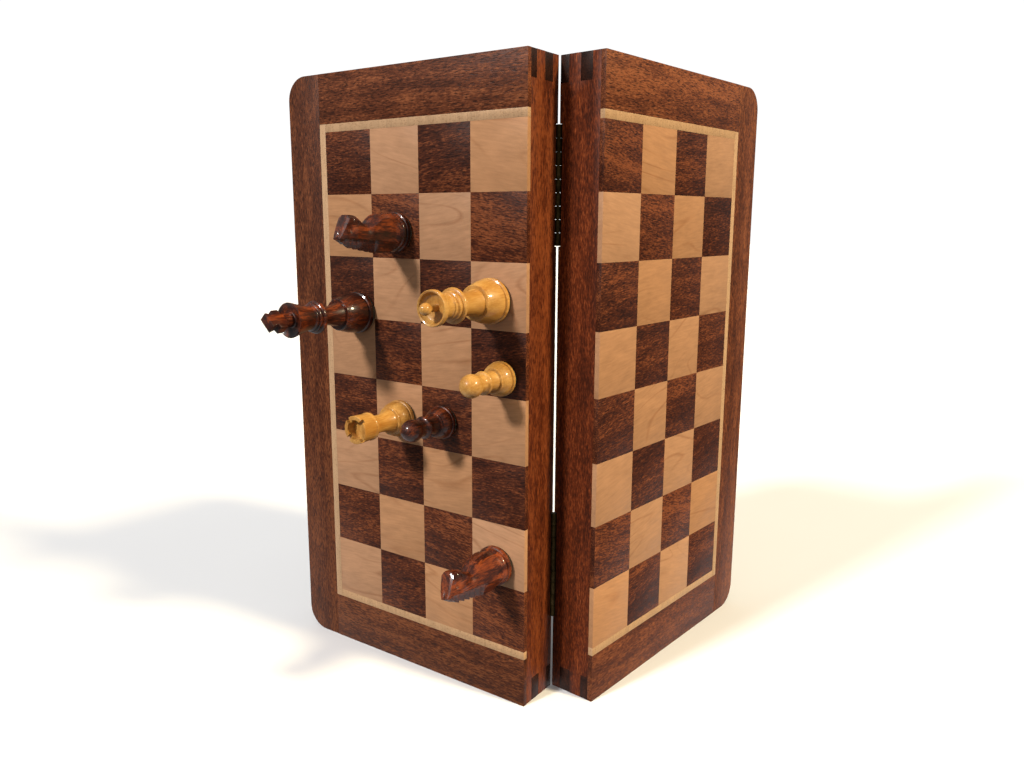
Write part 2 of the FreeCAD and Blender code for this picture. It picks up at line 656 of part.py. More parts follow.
MIDDLE_AT = (EDGE_AT + FAR_AT) / 2
COLUMN_ENDS = {
    "near": (EDGE_AT + SIZE["rail"], MIDDLE_AT - SIZE["spine_divider"] / 2),
    "far": (MIDDLE_AT + SIZE["spine_divider"] / 2, FAR_AT - SIZE["rail"]),
}
PITCH = (LENGTH - 2 * SIZE["rail"]) / 8


def in_tray(half, kind, column, place_number, outwards):
    """Lay a man in a tray place, counted from 0 at the half's own lower end."""
    radius = max(point[0] for point in OUTLINES[kind]) / 100 * SIZE[kind + "_tall"]
    low, high = COLUMN_ENDS[column]
    base = low + SIZE["end_play"] if outwards else high - SIZE["end_play"]
    depth = FLOOR_AT - SIZE["stored_play"] - radius
    height = SIZE["rail"] + (place_number + 0.5) * PITCH
    lying = Rotation(Vector(0, 1, 0), 90 if outwards else -90)
    return half.multiply(Placement(Vector(base, depth, height), lying))


# Node, half, kind, column, places, and whether the base is at the low end of the column.
STORED = [
    ("stored_light_king", LEFT, "king", "near", [0], True),
    ("stored_light_bishops", LEFT, "bishop", "near", [1, 4], True),
    ("stored_light_knights", LEFT, "knight", "near", [2, 3], True),
    ("stored_light_rook", LEFT, "rook", "near", [5], True),
    ("stored_light_pawns", LEFT, "pawn", "far", [0, 1, 2, 3, 4, 5, 6], False),
    ("stored_dark_queen", RIGHT, "queen", "far", [2], True),
    ("stored_dark_bishops", RIGHT, "bishop", "far", [1, 3], True),
    ("stored_dark_rooks", RIGHT, "rook", "far", [0, 4], True),
    ("stored_dark_pawns", RIGHT, "pawn", "near", [0, 1, 2, 3, 4, 5, 6], False),
]


def make_stored(patterns):
    """Groups of men lying in the trays, each a copy of the same turned man."""
    for node, half, kind, column, places, outwards in STORED:
        copies = []
        for number, place_number in enumerate(places):
            copy = doc.addObject("App::Link", f"{node}_{number}")
            copy.LinkedObject = patterns[kind]
            copy.LinkTransform = False
            copy.Placement = in_tray(half, kind, column, place_number, outwards)
            copies.append(copy)
        finish(node, copies, Placement())


def make_pins():
    """The two hinge pins, each as long as its nine knuckles."""
    pins = []
    for hinge, centre, knuckles in hinge_centres("left"):
        pins.append(rod(f"{hinge}_pin", "hinge_pin", "9 * knuckle", "0", "0", hinge_range(centre)[0]))
    finish("hinge_pins", pins, LEFT)


def check_document():
    """Stop on any object that failed, and on any sub-part without a sound shape."""
    for item in doc.Objects:
        if "Invalid" in item.State or "Error" in item.State:
            raise RuntimeError(f"{item.Name} failed: {item.State}")
    for item in exported:
        if item.Shape.isNull() or not item.Shape.isValid():
            raise RuntimeError(f"{item.Label} has no valid shape")


make_half("left", LEFT)
make_half("right", RIGHT)
make_pins()
patterns = make_displayed()
patterns["bishop"] = make_man("bishop", "bishop_pattern")
make_stored(patterns)
doc.recompute()
check_document()

os.makedirs("parts", exist_ok=True)
for item in exported:
    item.Shape.exportStep(os.path.join("parts", item.Label + ".step"))
    print(f"{item.Label}: {len(item.Shape.Solids)} solids, {item.Shape.Volume:.0f} mm3")
print(f"{len(exported)} nodes, hinge axis at {AXIS.x:.4f}, {AXIS.y:.4f}")
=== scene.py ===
import json
import math

import bmesh
import bpy
from mathutils import Matrix, Vector, noise

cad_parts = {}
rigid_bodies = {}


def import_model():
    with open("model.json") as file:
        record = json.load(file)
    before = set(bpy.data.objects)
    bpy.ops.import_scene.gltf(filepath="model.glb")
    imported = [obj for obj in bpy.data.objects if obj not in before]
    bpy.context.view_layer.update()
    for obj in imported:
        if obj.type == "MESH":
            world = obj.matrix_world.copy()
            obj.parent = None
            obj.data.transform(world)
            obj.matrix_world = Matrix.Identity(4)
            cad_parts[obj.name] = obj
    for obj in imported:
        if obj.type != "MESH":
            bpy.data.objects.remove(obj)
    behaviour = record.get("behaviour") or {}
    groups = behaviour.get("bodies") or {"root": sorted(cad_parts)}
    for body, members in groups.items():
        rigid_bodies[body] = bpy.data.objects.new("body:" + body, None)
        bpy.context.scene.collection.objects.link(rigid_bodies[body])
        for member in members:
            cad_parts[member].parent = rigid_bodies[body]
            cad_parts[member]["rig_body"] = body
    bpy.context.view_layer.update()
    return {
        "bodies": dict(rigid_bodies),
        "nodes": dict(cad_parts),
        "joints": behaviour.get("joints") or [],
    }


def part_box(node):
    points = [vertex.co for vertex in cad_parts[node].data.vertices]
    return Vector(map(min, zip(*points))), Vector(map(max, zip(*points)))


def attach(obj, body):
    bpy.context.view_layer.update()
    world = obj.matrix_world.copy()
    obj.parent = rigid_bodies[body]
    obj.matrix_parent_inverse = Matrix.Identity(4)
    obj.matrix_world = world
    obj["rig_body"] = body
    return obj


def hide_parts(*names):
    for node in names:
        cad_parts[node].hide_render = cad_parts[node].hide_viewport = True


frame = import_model()

MM = 0.001
SEGMENTS = 96            # facets round a turned man
MEN = ("king", "queen", "bishop", "knight", "rook", "pawn")

# ---------------------------------------------------------------- places, from the frame


def joint(name):
    return next(item for item in frame["joints"] if item["name"] == name)


HINGE = Vector(joint("fold_hinge")["pos_m"])
HINGE.z = 0.0
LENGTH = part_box("left_border")[1].z
LIFT_LEFT = Vector(joint("lift_out_light_king")["axis"])
LIFT_RIGHT = Vector(joint("lift_out_dark_queen")["axis"])


def half_frame(lift, flipped):
    """The turn and place of one half: its X runs out from the hinge, its Y from rim to face."""
    face = -lift.normalized()
    up = Vector((0, 0, -1 if flipped else 1))
    out = face.cross(up)
    origin = HINGE + Vector((0, 0, LENGTH if flipped else 0))
    turn = Matrix((out, face, up)).transposed().to_4x4()
    return Matrix.Translation(origin) @ turn


LEFT = half_frame(LIFT_LEFT, False)
RIGHT = half_frame(LIFT_RIGHT, True)

# ---------------------------------------------------------------- node helpers


def srgb(red, green, blue):
    """A colour given as 0 to 255 steps, in linear light."""
    steps = (red / 255, green / 255, blue / 255)
    linear = [c / 12.92 if c <= 0.04045 else ((c + 0.055) / 1.055) ** 2.4 for c in steps]
    return (*linear, 1.0)


class Shader:
    """A material's node tree, with short ways to add nodes and join them."""

    def __init__(self, name):
        self.material = bpy.data.materials.new(name)
        self.material.use_nodes = True
        self.tree = self.material.node_tree
        self.surface = self.tree.nodes["Principled BSDF"]

    def add(self, kind, **settings):
        item = self.tree.nodes.new(kind)
        for key, value in settings.items():
            setattr(item, key, value)
        return item

    def feed(self, item, **inputs):
        """Set inputs by name, to a number, a colour or another node's output."""
        for key, value in inputs.items():
            socket = item.inputs[key.replace("_", " ")] if isinstance(key, str) else item.inputs[key]
            if isinstance(value, bpy.types.NodeSocket):
                self.tree.links.new(value, socket)
            else:
                socket.default_value = value
        return item

    def math(self, operation, first, second=0.0, third=None):
        item = self.add("ShaderNodeMath", operation=operation)
        for number, value in enumerate((first, second, third)):
            if value is None:
                continue
            if isinstance(value, bpy.types.NodeSocket):
                self.tree.links.new(value, item.inputs[number])
            else:
                item.inputs[number].default_value = value
        return item.outputs[0]

    def vector(self, operation, first, second):
        """A sum or product of two vectors."""
        item = self.add("ShaderNodeVectorMath", operation=operation)
        for number, value in enumerate((first, second)):
            if isinstance(value, bpy.types.NodeSocket):
                self.tree.links.new(value, item.inputs[number])
            else:
                item.inputs[number].default_value = value
        return item.outputs[0]

    def noise(self, place, scale=1.0, detail=2.0, roughness=0.5, distortion=0.0):
        item = self.add("ShaderNodeTexNoise")
        self.feed(item, Vector=place, Scale=scale, Detail=detail, Roughness=roughness, Distortion=distortion)
        return item.outputs[0]

    def ramp(self, factor, *stops):
        """A colour ramp from (position, colour) stops."""
        item = self.add("ShaderNodeValToRGB")
        item.color_ramp.elements[0].position = stops[0][0]
        item.color_ramp.elements[0].color = stops[0][1]
        item.color_ramp.elements[1].position = stops[-1][0]
        item.color_ramp.elements[1].color = stops[-1][1]
        for position, colour in stops[1:-1]:
            item.color_ramp.elements.new(position).color = colour
        self.tree.links.new(factor, item.inputs[0])
        return item.outputs[0]

    def spread(self, value, low, high, start=0.0, end=1.0):
        """A value between low and high, stretched to run from start to end."""
        item = self.add("ShaderNodeMapRange")
        self.tree.links.new(value, item.inputs[0])
        for number, limit in zip((1, 2, 3, 4), (low, high, start, end)):
            if isinstance(limit, bpy.types.NodeSocket):
                self.tree.links.new(limit, item.inputs[number])
            else:
                item.inputs[number].default_value = limit
        return item.outputs[0]

    def mix(self, factor, first, second, blend="MIX"):
        item = self.add("ShaderNodeMix", data_type="RGBA", blend_type=blend)
        for number, value in ((0, factor), (6, first), (7, second)):
            if isinstance(value, bpy.types.NodeSocket):
                self.tree.links.new(value, item.inputs[number])
            else:
                item.inputs[number].default_value = value
        return item.outputs[2]

    def bump(self, height, strength, distance=0.0005):
        item = self.add("ShaderNodeBump")
        item.inputs["Strength"].default_value = strength
        item.inputs["Distance"].default_value = distance
        self.tree.links.new(height, item.inputs["Height"])
        self.tree.links.new(item.outputs[0], self.surface.inputs["Normal"])


def grey(value):
    return (value, value, value, 1.0)


# ---------------------------------------------------------------- woods


def grain_place(shader, along, across, wander=0.0, per_object=False):
    """A place in the wood with X along the grain, and a chance that differs from block to block."""
    place = shader.add("ShaderNodeTexCoord").outputs["Object"]
    if per_object:
        chance = shader.add("ShaderNodeObjectInfo").outputs["Random"]
    else:
        chance = shader.add("ShaderNodeNewGeometry").outputs["Random Per Island"]
    axes = Matrix((along, across.cross(along), across))
    turned = shader.add("ShaderNodeCombineXYZ")
    for number, axis in enumerate(axes):
        part = shader.add("ShaderNodeVectorMath", operation="DOT_PRODUCT")
        shader.tree.links.new(place, part.inputs[0])
        part.inputs[1].default_value = axis
        shader.tree.links.new(part.outputs["Value"], turned.inputs[number])
    swung = shader.add("ShaderNodeVectorRotate", rotation_type="Z_AXIS")
    shader.feed(swung, Vector=turned.outputs[0], Angle=shader.spread(chance, 0.0, 1.0, -wander, wander))
    shift = shader.add("ShaderNodeCombineXYZ")
    shader.feed(shift, X=shader.math("MULTIPLY", chance, 7.3), Y=shader.math("MULTIPLY", chance, 3.1),
                Z=shader.math("MULTIPLY", chance, 5.7))
    return shader.vector("ADD", swung.outputs[0], shift.outputs[0]), chance


def stretched(shader, place, length):
    """The same place with the grain direction drawn out."""
    return shader.vector("MULTIPLY", place, (1 / length, 1.0, 1.0))


BLOCK_TONE = 0.03        # how far one block's tone may differ from the next
OILED = 0.12             # the low shine of oiled wood


def open_wood(name, along, across, dark, middle, pale, bands=70.0, pores=0.8, wander=0.0):
    """A brown open-pored wood: broad soft bands, fine fibres, flecks and short dark pores."""
    shader = Shader(name)
    place, chance = grain_place(shader, along, across, wander)
    band = shader.noise(stretched(shader, place, 14.0), bands, 2.0, 0.5, 0.3)
    figure = shader.noise(stretched(shader, place, 5.0), 260.0, 2.0, 0.55)
    fibre = shader.noise(stretched(shader, place, 7.0), 1900.0, 2.0, 0.6)
    fleck = shader.noise(stretched(shader, place, 2.5), 1300.0, 2.0, 0.6)
    pore = shader.noise(stretched(shader, place, 6.0), 2000.0, 1.0, 0.5)
    tone = shader.math("MULTIPLY", band, 0.22)
    tone = shader.math("MULTIPLY_ADD", figure, 0.20, tone)
    tone = shader.math("MULTIPLY_ADD", fibre, 0.32, tone)
    tone = shader.math("MULTIPLY_ADD", fleck, 0.26, tone)
    tone = shader.math("ADD", tone, shader.spread(chance, 0.0, 1.0, -BLOCK_TONE, BLOCK_TONE))
    colour = shader.ramp(tone, (0.40, dark), (0.5, middle), (0.60, pale))
    hole = shader.spread(pore, 0.57, 0.66)
    deep = [c * 0.45 for c in dark[:3]] + [1.0]
    colour = shader.mix(shader.math("MULTIPLY", hole, pores), colour, deep)
    shader.feed(shader.surface, Base_Color=colour)
    shader.feed(shader.surface, Roughness=shader.spread(fibre, 0.3, 0.7, 0.4, 0.54))
    shader.surface.inputs["Specular IOR Level"].default_value = OILED
    shader.bump(shader.math("MULTIPLY_ADD", hole, -0.8, fibre), 0.25, 0.0002)
    return shader.material


GROWTH_SCALE = 24.0
GROWTH_LINES = 11.0
PALE_TONE = 0.06         # how far one pale block's brightness may differ from the next


def close_wood(name, along, across, base, line, lines=0.5, wander=0.0, specks=0.0):
    """A pale close-grained wood: a silky mottle with a few thin growth lines in curves."""
    shader = Shader(name)
    place, chance = grain_place(shader, along, across, wander)
    growth = shader.noise(stretched(shader, place, 3.2), GROWTH_SCALE, 1.5, 0.45, 0.5)
    wave = shader.math("FRACT", shader.math("MULTIPLY", growth, GROWTH_LINES))
    ridge = shader.math("ABSOLUTE", shader.math("SUBTRACT", wave, 0.5))
    thin = shader.spread(ridge, 0.40, 0.5)
    strong = shader.spread(shader.noise(stretched(shader, place, 2.0), 45.0, 1.0), 0.4, 0.65)
    mottle = shader.noise(stretched(shader, place, 2.5), 230.0, 3.0, 0.6)
    fibre = shader.noise(stretched(shader, place, 9.0), 1000.0, 2.0, 0.6)
    tone = shader.math("ADD", shader.spread(mottle, 0.3, 0.7, -0.08, 0.08),
                       shader.spread(fibre, 0.3, 0.7, -0.08, 0.08))
    tone = shader.math("ADD", tone, shader.spread(chance, 0.0, 1.0, 1.0 - PALE_TONE, 1.0 + PALE_TONE))
    tint = shader.add("ShaderNodeHueSaturation")
    lined = shader.mix(shader.math("MULTIPLY", shader.math("MULTIPLY", thin, strong), lines), base, line)
    if specks:
        speck = shader.spread(shader.noise(stretched(shader, place, 0.5), 900.0, 1.0), 0.55, 0.68)
        lined = shader.mix(shader.math("MULTIPLY", speck, specks), lined, line)
    second_chance = shader.math("FRACT", shader.math("MULTIPLY", chance, 17.3))
    shader.feed(tint, Value=tone, Color=lined, Saturation=shader.spread(second_chance, 0.0, 1.0, 0.97, 1.04))
    shader.feed(shader.surface, Base_Color=tint.outputs[0])
    shader.feed(shader.surface, Roughness=shader.spread(mottle, 0.3, 0.7, 0.38, 0.5))
    shader.surface.inputs["Specular IOR Level"].default_value = OILED
    shader.bump(fibre, 0.12, 0.0002)
    return shader.material


def turned_wood(name, dark, middle, pale, streaks, fine, half_spread, gloss, gloss_roughness):
    """Lacquered wood of a turned man: streaks along its axis under a gloss."""
    shader = Shader(name)
    place, chance = grain_place(shader, UP, Vector((0, 1, 0)), per_object=True)
    bend = shader.noise(stretched(shader, place, 3.0), 40.0, 1.0)
    bent = shader.add("ShaderNodeCombineXYZ")
    shader.feed(bent, Y=shader.math("MULTIPLY", bend, 0.004), Z=shader.math("MULTIPLY", bend, 0.002))
    place = shader.vector("ADD", place, bent.outputs[0])
    streak = shader.noise(stretched(shader, place, 7.0), streaks, 3.0, 0.6, 0.4)
    fibre = shader.noise(stretched(shader, place, 9.0), fine, 2.0, 0.6)
    tone = shader.math("MULTIPLY_ADD", fibre, 0.35, shader.math("MULTIPLY", streak, 0.65))
    tone = shader.math("ADD", tone, shader.spread(chance, 0.0, 1.0, -0.02, 0.02))
    colour = shader.ramp(tone, (0.5 - half_spread, dark), (0.5, middle), (0.5 + half_spread, pale))
    shader.feed(shader.surface, Base_Color=colour)
    shader.feed(shader.surface, Roughness=shader.spread(fibre, 0.3, 0.7, 0.34, 0.46))
    shader.surface.inputs["Specular IOR Level"].default_value = 0.2
    shader.surface.inputs["Coat Weight"].default_value = gloss
    shader.surface.inputs["Coat Roughness"].default_value = gloss_roughness
    shader.bump(fibre, 0.06, 0.0002)
    return shader.material


def brass_with_painted_shade():
    """Old brass scratched along its length, its colour darkened nearly black as painted shade, over blotches
    of tarnish.
    """
    shader = Shader("brass")
    place = shader.add("ShaderNodeTexCoord").outputs["Object"]
    scratches = shader.noise(shader.vector("MULTIPLY", place, (1.0, 1.0, 0.1)), 3500.0, 2.0, 0.6)
    tarnish_and_shade = shader.noise(place, 220.0, 3.0, 0.6)
    # Painted shade: these near-black tones stand in for the shadow over the hinge, and the noise only
    # mottles them as tarnish.
    colour = shader.ramp(tarnish_and_shade, (0.3, srgb(34, 27, 15)), (0.55, srgb(64, 52, 30)),
                         (0.8, srgb(98, 82, 50)))
    shader.feed(shader.surface, Base_Color=colour, Roughness=shader.spread(scratches, 0.3, 0.7, 0.5, 0.66))
    shader.surface.inputs["Metallic"].default_value = 1.0
    shader.bump(scratches, 0.2, 0.0001)
    return shader.material


def plated_metal(name, low, high):
    """Plated metal with faint blotches."""
    shader = Shader(name)
    place = shader.add("ShaderNodeTexCoord").outputs["Object"]
    blotch = shader.noise(place, 160.0, 3.0, 0.6)
    colour = shader.ramp(blotch, (0.3, low), (0.7, high))
    shader.feed(shader.surface, Base_Color=colour, Roughness=shader.spread(blotch, 0.3, 0.7, 0.22, 0.36))
    shader.surface.inputs["Metallic"].default_value = 1.0
    shader.bump(blotch, 0.1, 0.0001)
    return shader.material


def felt_cloth(name, low, high):
    """Pressed wool: a fuzzy, matt, mottled nap."""
    shader = Shader(name)
    place = shader.add("ShaderNodeTexCoord").outputs["Object"]
    hairs = shader.noise(place, 2600.0, 4.0, 0.75, 1.5)
    blotch = shader.noise(place, 120.0, 3.0, 0.6)
    tone = shader.math("ADD", shader.math("MULTIPLY", hairs, 0.7), shader.math("MULTIPLY", blotch, 0.3))
    shader.feed(shader.surface, Base_Color=shader.ramp(tone, (0.35, low), (0.65, high)),
                Roughness=shader.spread(hairs, 0.3, 0.7, 0.85, 0.98))
    shader.surface.inputs["Sheen Weight"].default_value = 0.5
    shader.surface.inputs["Sheen Roughness"].default_value = 0.4
    shader.bump(hairs, 0.8, 0.0004)
    return shader.material


UP = Vector((0, 0, 1))

# Dark, middle and pale tones of each brown wood.
DARK_SQUARE = (srgb(44, 18, 9), srgb(78, 37, 20), srgb(132, 72, 40))
BORDER = (srgb(60, 29, 16), srgb(98, 51, 29), srgb(142, 82, 48))
RAIL = (srgb(54, 21, 8), srgb(92, 39, 16), srgb(136, 68, 32))
END_GRAIN = (srgb(30, 15, 10), srgb(48, 25, 16), srgb(66, 36, 24))
# How much lighter or darker each half's long border, lower border and long rails are than the rest.
UPPER_BORDER = 1.08
HALF_TONES = {"left": (0.8, 0.68, 0.86), "right": (1.0, 1.0, 1.3)}


def tinted(colours, share):
    """The same colours, all lighter or all darker."""
    return [[part * share for part in colour[:3]] + [1.0] for colour in colours]


MATERIALS = {}
HALVES = {"left": LEFT, "right": RIGHT}
for side, half in HALVES.items():
    outer, lower, spine = HALF_TONES[side]
    out, face = (half.to_3x3() @ Vector(axis) for axis in ((1, 0, 0), (0, 1, 0)))
    made = {
        "dark_squares": open_wood(side + "_dark_square_wood", out, face, *DARK_SQUARE, wander=0.16),
        "light_squares": close_wood(side + "_light_square_wood", out, face, srgb(176, 130, 94),
                                    srgb(134, 86, 54), wander=0.2),
        "upper_border": open_wood(side + "_upper_border_wood", out, face,
                                  *tinted(BORDER, UPPER_BORDER), bands=110.0),
        "lower_border": open_wood(side + "_lower_border_wood", out, face,
                                  *tinted(BORDER, lower), bands=110.0),
        "long_border": open_wood(side + "_long_border_wood", UP, face,
                                 *tinted(BORDER, outer), bands=90.0),
        "inlay": close_wood(side + "_inlay_wood", UP, face, srgb(188, 150, 112),
                            srgb(146, 106, 72), lines=0.1, specks=0.5),
        "end_rail": open_wood(side + "_end_rail_wood", out, UP, *RAIL, bands=120.0, pores=0.5),
        "long_rail": open_wood(side + "_long_rail_wood", UP, out,
                               *tinted(RAIL, spine), bands=150.0, pores=0.5),
        "end_grain": open_wood(side + "_end_grain_wood", out, face, *END_GRAIN, bands=200.0),
    }
    MATERIALS.update({f"{side}_{name}": material for name, material in made.items()})
MATERIALS["rosewood"] = turned_wood("rosewood", srgb(28, 9, 4), srgb(62, 22, 8), srgb(128, 56, 18),
                                    260.0, 1800.0, 0.13, 0.42, 0.08)
MATERIALS["boxwood"] = turned_wood("boxwood", srgb(160, 104, 40), srgb(182, 129, 60), srgb(204, 154, 82),
                                   150.0, 1200.0, 0.16, 0.35, 0.12)
MATERIALS["plywood"] = close_wood("plywood", UP, Vector((0, 1, 0)), srgb(196, 158, 112), srgb(160, 116, 74))
MATERIALS["brass"] = brass_with_painted_shade()
MATERIALS["steel"] = plated_metal("zinc_plate", srgb(120, 122, 126), srgb(176, 178, 182))
MATERIALS["magnet"] = plated_metal("nickel_plate", srgb(150, 148, 146), srgb(206, 204, 200))
MATERIALS["felt"] = felt_cloth("felt", srgb(18, 52, 30), srgb(44, 92, 58))
MATERIALS["lining"] = felt_cloth("flocking", srgb(16, 46, 28), srgb(36, 84, 52))


def paint(item, *names):
    """Give an object its materials. Clearing resets the faces' choice, so it is done only when needed."""
    if item.data.materials:
        item.data.materials.clear()
    for name in names:
        item.data.materials.append(MATERIALS[name])


def add_piece(name, mesh, body, slot, *materials, nodes=(), place=None):
    """Put a finished mesh in the scene, on its body."""
    item = bpy.data.objects.new(name, mesh)
    bpy.context.scene.collection.objects.link(item)
    if place is not None:
        item.matrix_world = place
    paint(item, *materials)
    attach(item, body)
    if nodes:
        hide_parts(*nodes)
    return item


# ---------------------------------------------------------------- eased copies of the joinery


def clean_copy(node):
    """A CAD node's mesh with its facets joined and its flat faces whole."""
    shape = bmesh.new()
    shape.from_mesh(frame["nodes"][node].data)
    bmesh.ops.remove_doubles(shape, verts=shape.verts, dist=1e-6)
    bmesh.ops.dissolve_limit(shape, angle_limit=math.radians(1.0), verts=shape.verts, edges=shape.edges,
                             delimit={"NORMAL"})
    return shape


HARD_EDGE = math.radians(25)       # edges sharper than this are rounded
SHADED_EDGE = math.radians(28)     # edges sharper than this are shown as edges


def ease_edges(shape, width):
    """Round every hard edge by a small radius."""
    sharp = [edge for edge in shape.edges
             if len(edge.link_faces) == 2 and edge.calc_face_angle() > HARD_EDGE]
    bmesh.ops.bevel(shape, geom=sharp, offset=width, offset_type="OFFSET", segments=2, profile=0.5,
                    affect="EDGES", clamp_overlap=True)


def eased(node, width, slot, *materials, pick=None):
    """A CAD piece shown with softened edges."""
    shape = clean_copy(node)
    ease_edges(shape, width)
    if pick:
        for face in shape.faces:
            face.material_index = pick(face)
    for face in shape.faces:
        face.smooth = True
    mesh = bpy.data.meshes.new(node + "_eased")
    shape.to_mesh(mesh)
    shape.free()
    mesh.set_sharp_from_angle(angle=SHADED_EDGE)
    body = frame["nodes"][node]["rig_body"]
    return add_piece(node + "_eased", mesh, body, slot, *materials, nodes=[node])


def end_grain_pick(way):
    """Faces that look along the grain show end grain, the second material."""

    def pick(face):
        return 1 if abs(face.normal.dot(way)) > 0.9 else 0

    return pick


def block(low, high):
    """A plain block between two corners."""
    shape = bmesh.new()
    bmesh.ops.create_cube(shape, size=1.0)
    for vertex in shape.verts:
        vertex.co = Vector(low[axis] if vertex.co[axis] < 0 else high[axis] for axis in range(3))
    return shape


def eased_block(low, high, width):
    """One block of wood with its edges just broken."""
    shape = block(low, high)
    ease_edges(shape, width)
    return shape


def eased_plate(outline, low, high, width):
    """A plate with an outline in X and Z, between two depths."""
    shape = bmesh.new()
    bottom = [shape.verts.new((x, low, z)) for x, z in outline]
    top = [shape.verts.new((x, high, z)) for x, z in outline]
    shape.faces.new(bottom)
    shape.faces.new(list(reversed(top)))
    for number in range(len(outline)):
        following = (number + 1) % len(outline)
        shape.faces.new([bottom[following], bottom[number], top[number], top[following]])
    bmesh.ops.recalc_face_normals(shape, faces=shape.faces)
    ease_edges(shape, width)
    return shape


def gather(name, half, parts):
    """Put several shapes, each with its material's number, into one mesh in a half's place."""
    whole = bmesh.new()
    for shape, number in parts:
        for face in shape.faces:
            face.material_index = number
            face.smooth = True
        piece = bpy.data.meshes.new("part")
        shape.to_mesh(piece)
        shape.free()
        whole.from_mesh(piece)
        bpy.data.meshes.remove(piece)
    whole.transform(half)
    mesh = bpy.data.meshes.new(name)
    whole.to_mesh(mesh)
    whole.free()
    mesh.set_sharp_from_angle(angle=SHADED_EDGE)
    return mesh


# The playing layer, in a half's own directions: X out from the hinge, Y to the face, Z up.
COLUMNS_OF_SQUARES = 4
ROWS_OF_SQUARES = 8
SQUARES_LOW, SQUARES_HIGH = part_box("left_dark_squares")
SQUARE = (SQUARES_HIGH.x - SQUARES_LOW.x) / COLUMNS_OF_SQUARES
EDGE = HINGE.x - SQUARES_HIGH.x
FACE = HINGE.y - SQUARES_LOW.y
LAYER_BACK = HINGE.y - SQUARES_HIGH.y
INLAY_LOW, INLAY_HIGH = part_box("left_inlay")
SQUARES_END = HINGE.x - SQUARES_LOW.x
INLAY_END = HINGE.x - INLAY_LOW.x
FAR = HINGE.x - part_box("left_border")[0].x
CORNER = 12.0 * MM
CORNER_STEPS = 16
EASE = 0.07 * MM


def strip_outline():
    """The long border strip with its two rounded outer corners."""
    points = [(INLAY_END, 0.0)]
    for centre, start in ((CORNER, -90), (LENGTH - CORNER, 0)):
        for step in range(CORNER_STEPS + 1):
            angle = math.radians(start + 90 * step / CORNER_STEPS)
            points.append((FAR - CORNER + CORNER * math.cos(angle), centre + CORNER * math.sin(angle)))
    return points + [(INLAY_END, LENGTH)]


def make_board(side, half):
    """The playing layer, laid as separate pieces of wood."""
    squares = {"dark": [], "light": []}
    for column in range(COLUMNS_OF_SQUARES):
        for level in range(ROWS_OF_SQUARES):
            low = (EDGE + column * SQUARE, LAYER_BACK, SQUARES_LOW.z + level * SQUARE)
            high = (low[0] + SQUARE, FACE, low[2] + SQUARE)
            squares["light" if (column + level) % 2 else "dark"].append((eased_block(low, high, EASE), 0))
    for colour, blocks in squares.items():
        node = f"{side}_{colour}_squares"
        mesh = gather(node + "_laid", half, blocks)
        add_piece(node + "_laid", mesh, side + "_half", colour + "_square", node, nodes=[node])

    low, high = LAYER_BACK, FACE
    inlays = [
        ((SQUARES_END, low, INLAY_LOW.z), (INLAY_END, high, INLAY_HIGH.z)),
        ((EDGE, low, INLAY_LOW.z), (SQUARES_END, high, SQUARES_LOW.z)),
        ((EDGE, low, SQUARES_HIGH.z), (SQUARES_END, high, INLAY_HIGH.z)),
    ]
    mesh = gather(side + "_inlay_laid", half, [(eased_block(*ends, EASE), 0) for ends in inlays])
    add_piece(side + "_inlay_laid", mesh, side + "_half", "inlay", side + "_inlay", nodes=[side + "_inlay"])

    borders = [
        (eased_plate(strip_outline(), low, high, 3 * EASE), 0),
        (eased_block((EDGE, low, 0.0), (INLAY_END, high, INLAY_LOW.z), EASE), 1),
        (eased_block((EDGE, low, INLAY_HIGH.z), (INLAY_END, high, LENGTH), EASE), 2),
    ]
    mesh = gather(side + "_border_laid", half, borders)
    first, second = ("upper", "lower") if half == RIGHT else ("lower", "upper")
    add_piece(side + "_border_laid", mesh, side + "_half", "border", side + "_long_border",
              f"{side}_{first}_border", f"{side}_{second}_border", nodes=[side + "_border"])


RAIL_EASE = 0.15 * MM
LEAF_EASE = 0.12 * MM
SCREW_EASE = 0.06 * MM
LINING_EASE = 0.4 * MM
MAGNET_EASE = 0.25 * MM
for side, half in HALVES.items():
    out = half.to_3x3() @ Vector((1, 0, 0))
    for name in ("spine_rail", "outer_rail"):
        eased(f"{side}_{name}", RAIL_EASE, "walnut_rail", side + "_long_rail", side + "_end_grain",
              pick=end_grain_pick(UP))
    for name in ("upper_end_rail", "lower_end_rail"):
        eased(f"{side}_{name}", RAIL_EASE, "walnut_rail", side + "_end_rail", side + "_end_grain",
              pick=end_grain_pick(out))
    make_board(side, half)
    eased(side + "_hinge_leaves", LEAF_EASE, "brass", "brass")
    eased(side + "_hinge_screws", SCREW_EASE, "brass", "brass")
    eased(side + "_storage_insert", LINING_EASE, "lining", "lining")
    paint(frame["nodes"][side + "_steel_sheet"], "steel")
    paint(frame["nodes"][side + "_base_panel"], "plywood")
    eased(side + "_closing_magnets", MAGNET_EASE, "magnet", "magnet")
paint(frame["nodes"]["hinge_pins"], "brass")

# ---------------------------------------------------------------- the chessmen

TALL = {"king": 59.9 * MM, "queen": 49.5 * MM, "bishop": 43.0 * MM, "knight": 40.4 * MM, "rook": 33.4 * MM,
        "pawn": 29.0 * MM}
FELT_TOP = 1.02 * MM

# Outlines as in the CAD: (radius, height) in hundredths of a man's height, going up, and a third
# number where the stretch to that point is an arc, its bulge as a share of half its chord.


def foot(kind, radius, plate):
    """The plate on the felt and the groove above it, which all the men share."""
    felt = 100 * FELT_TOP / TALL[kind]
    return [
        (0, felt), (radius * 0.975, felt), (radius, felt + 0.25 * plate, 0.4), (radius, felt + 0.85 * plate),
        (radius * 0.9, felt + 1.05 * plate), (radius * 0.965, felt + 1.3 * plate)]


def ball(neck, radius, top):
    """A round ball on a neck, as the end of an outline."""
    below = math.sqrt(radius * radius - neck * neck)
    sweep = math.pi / 2 + math.acos(neck / radius)
    return [(neck, top - radius - below), (0, top, math.tan(sweep / 4))]


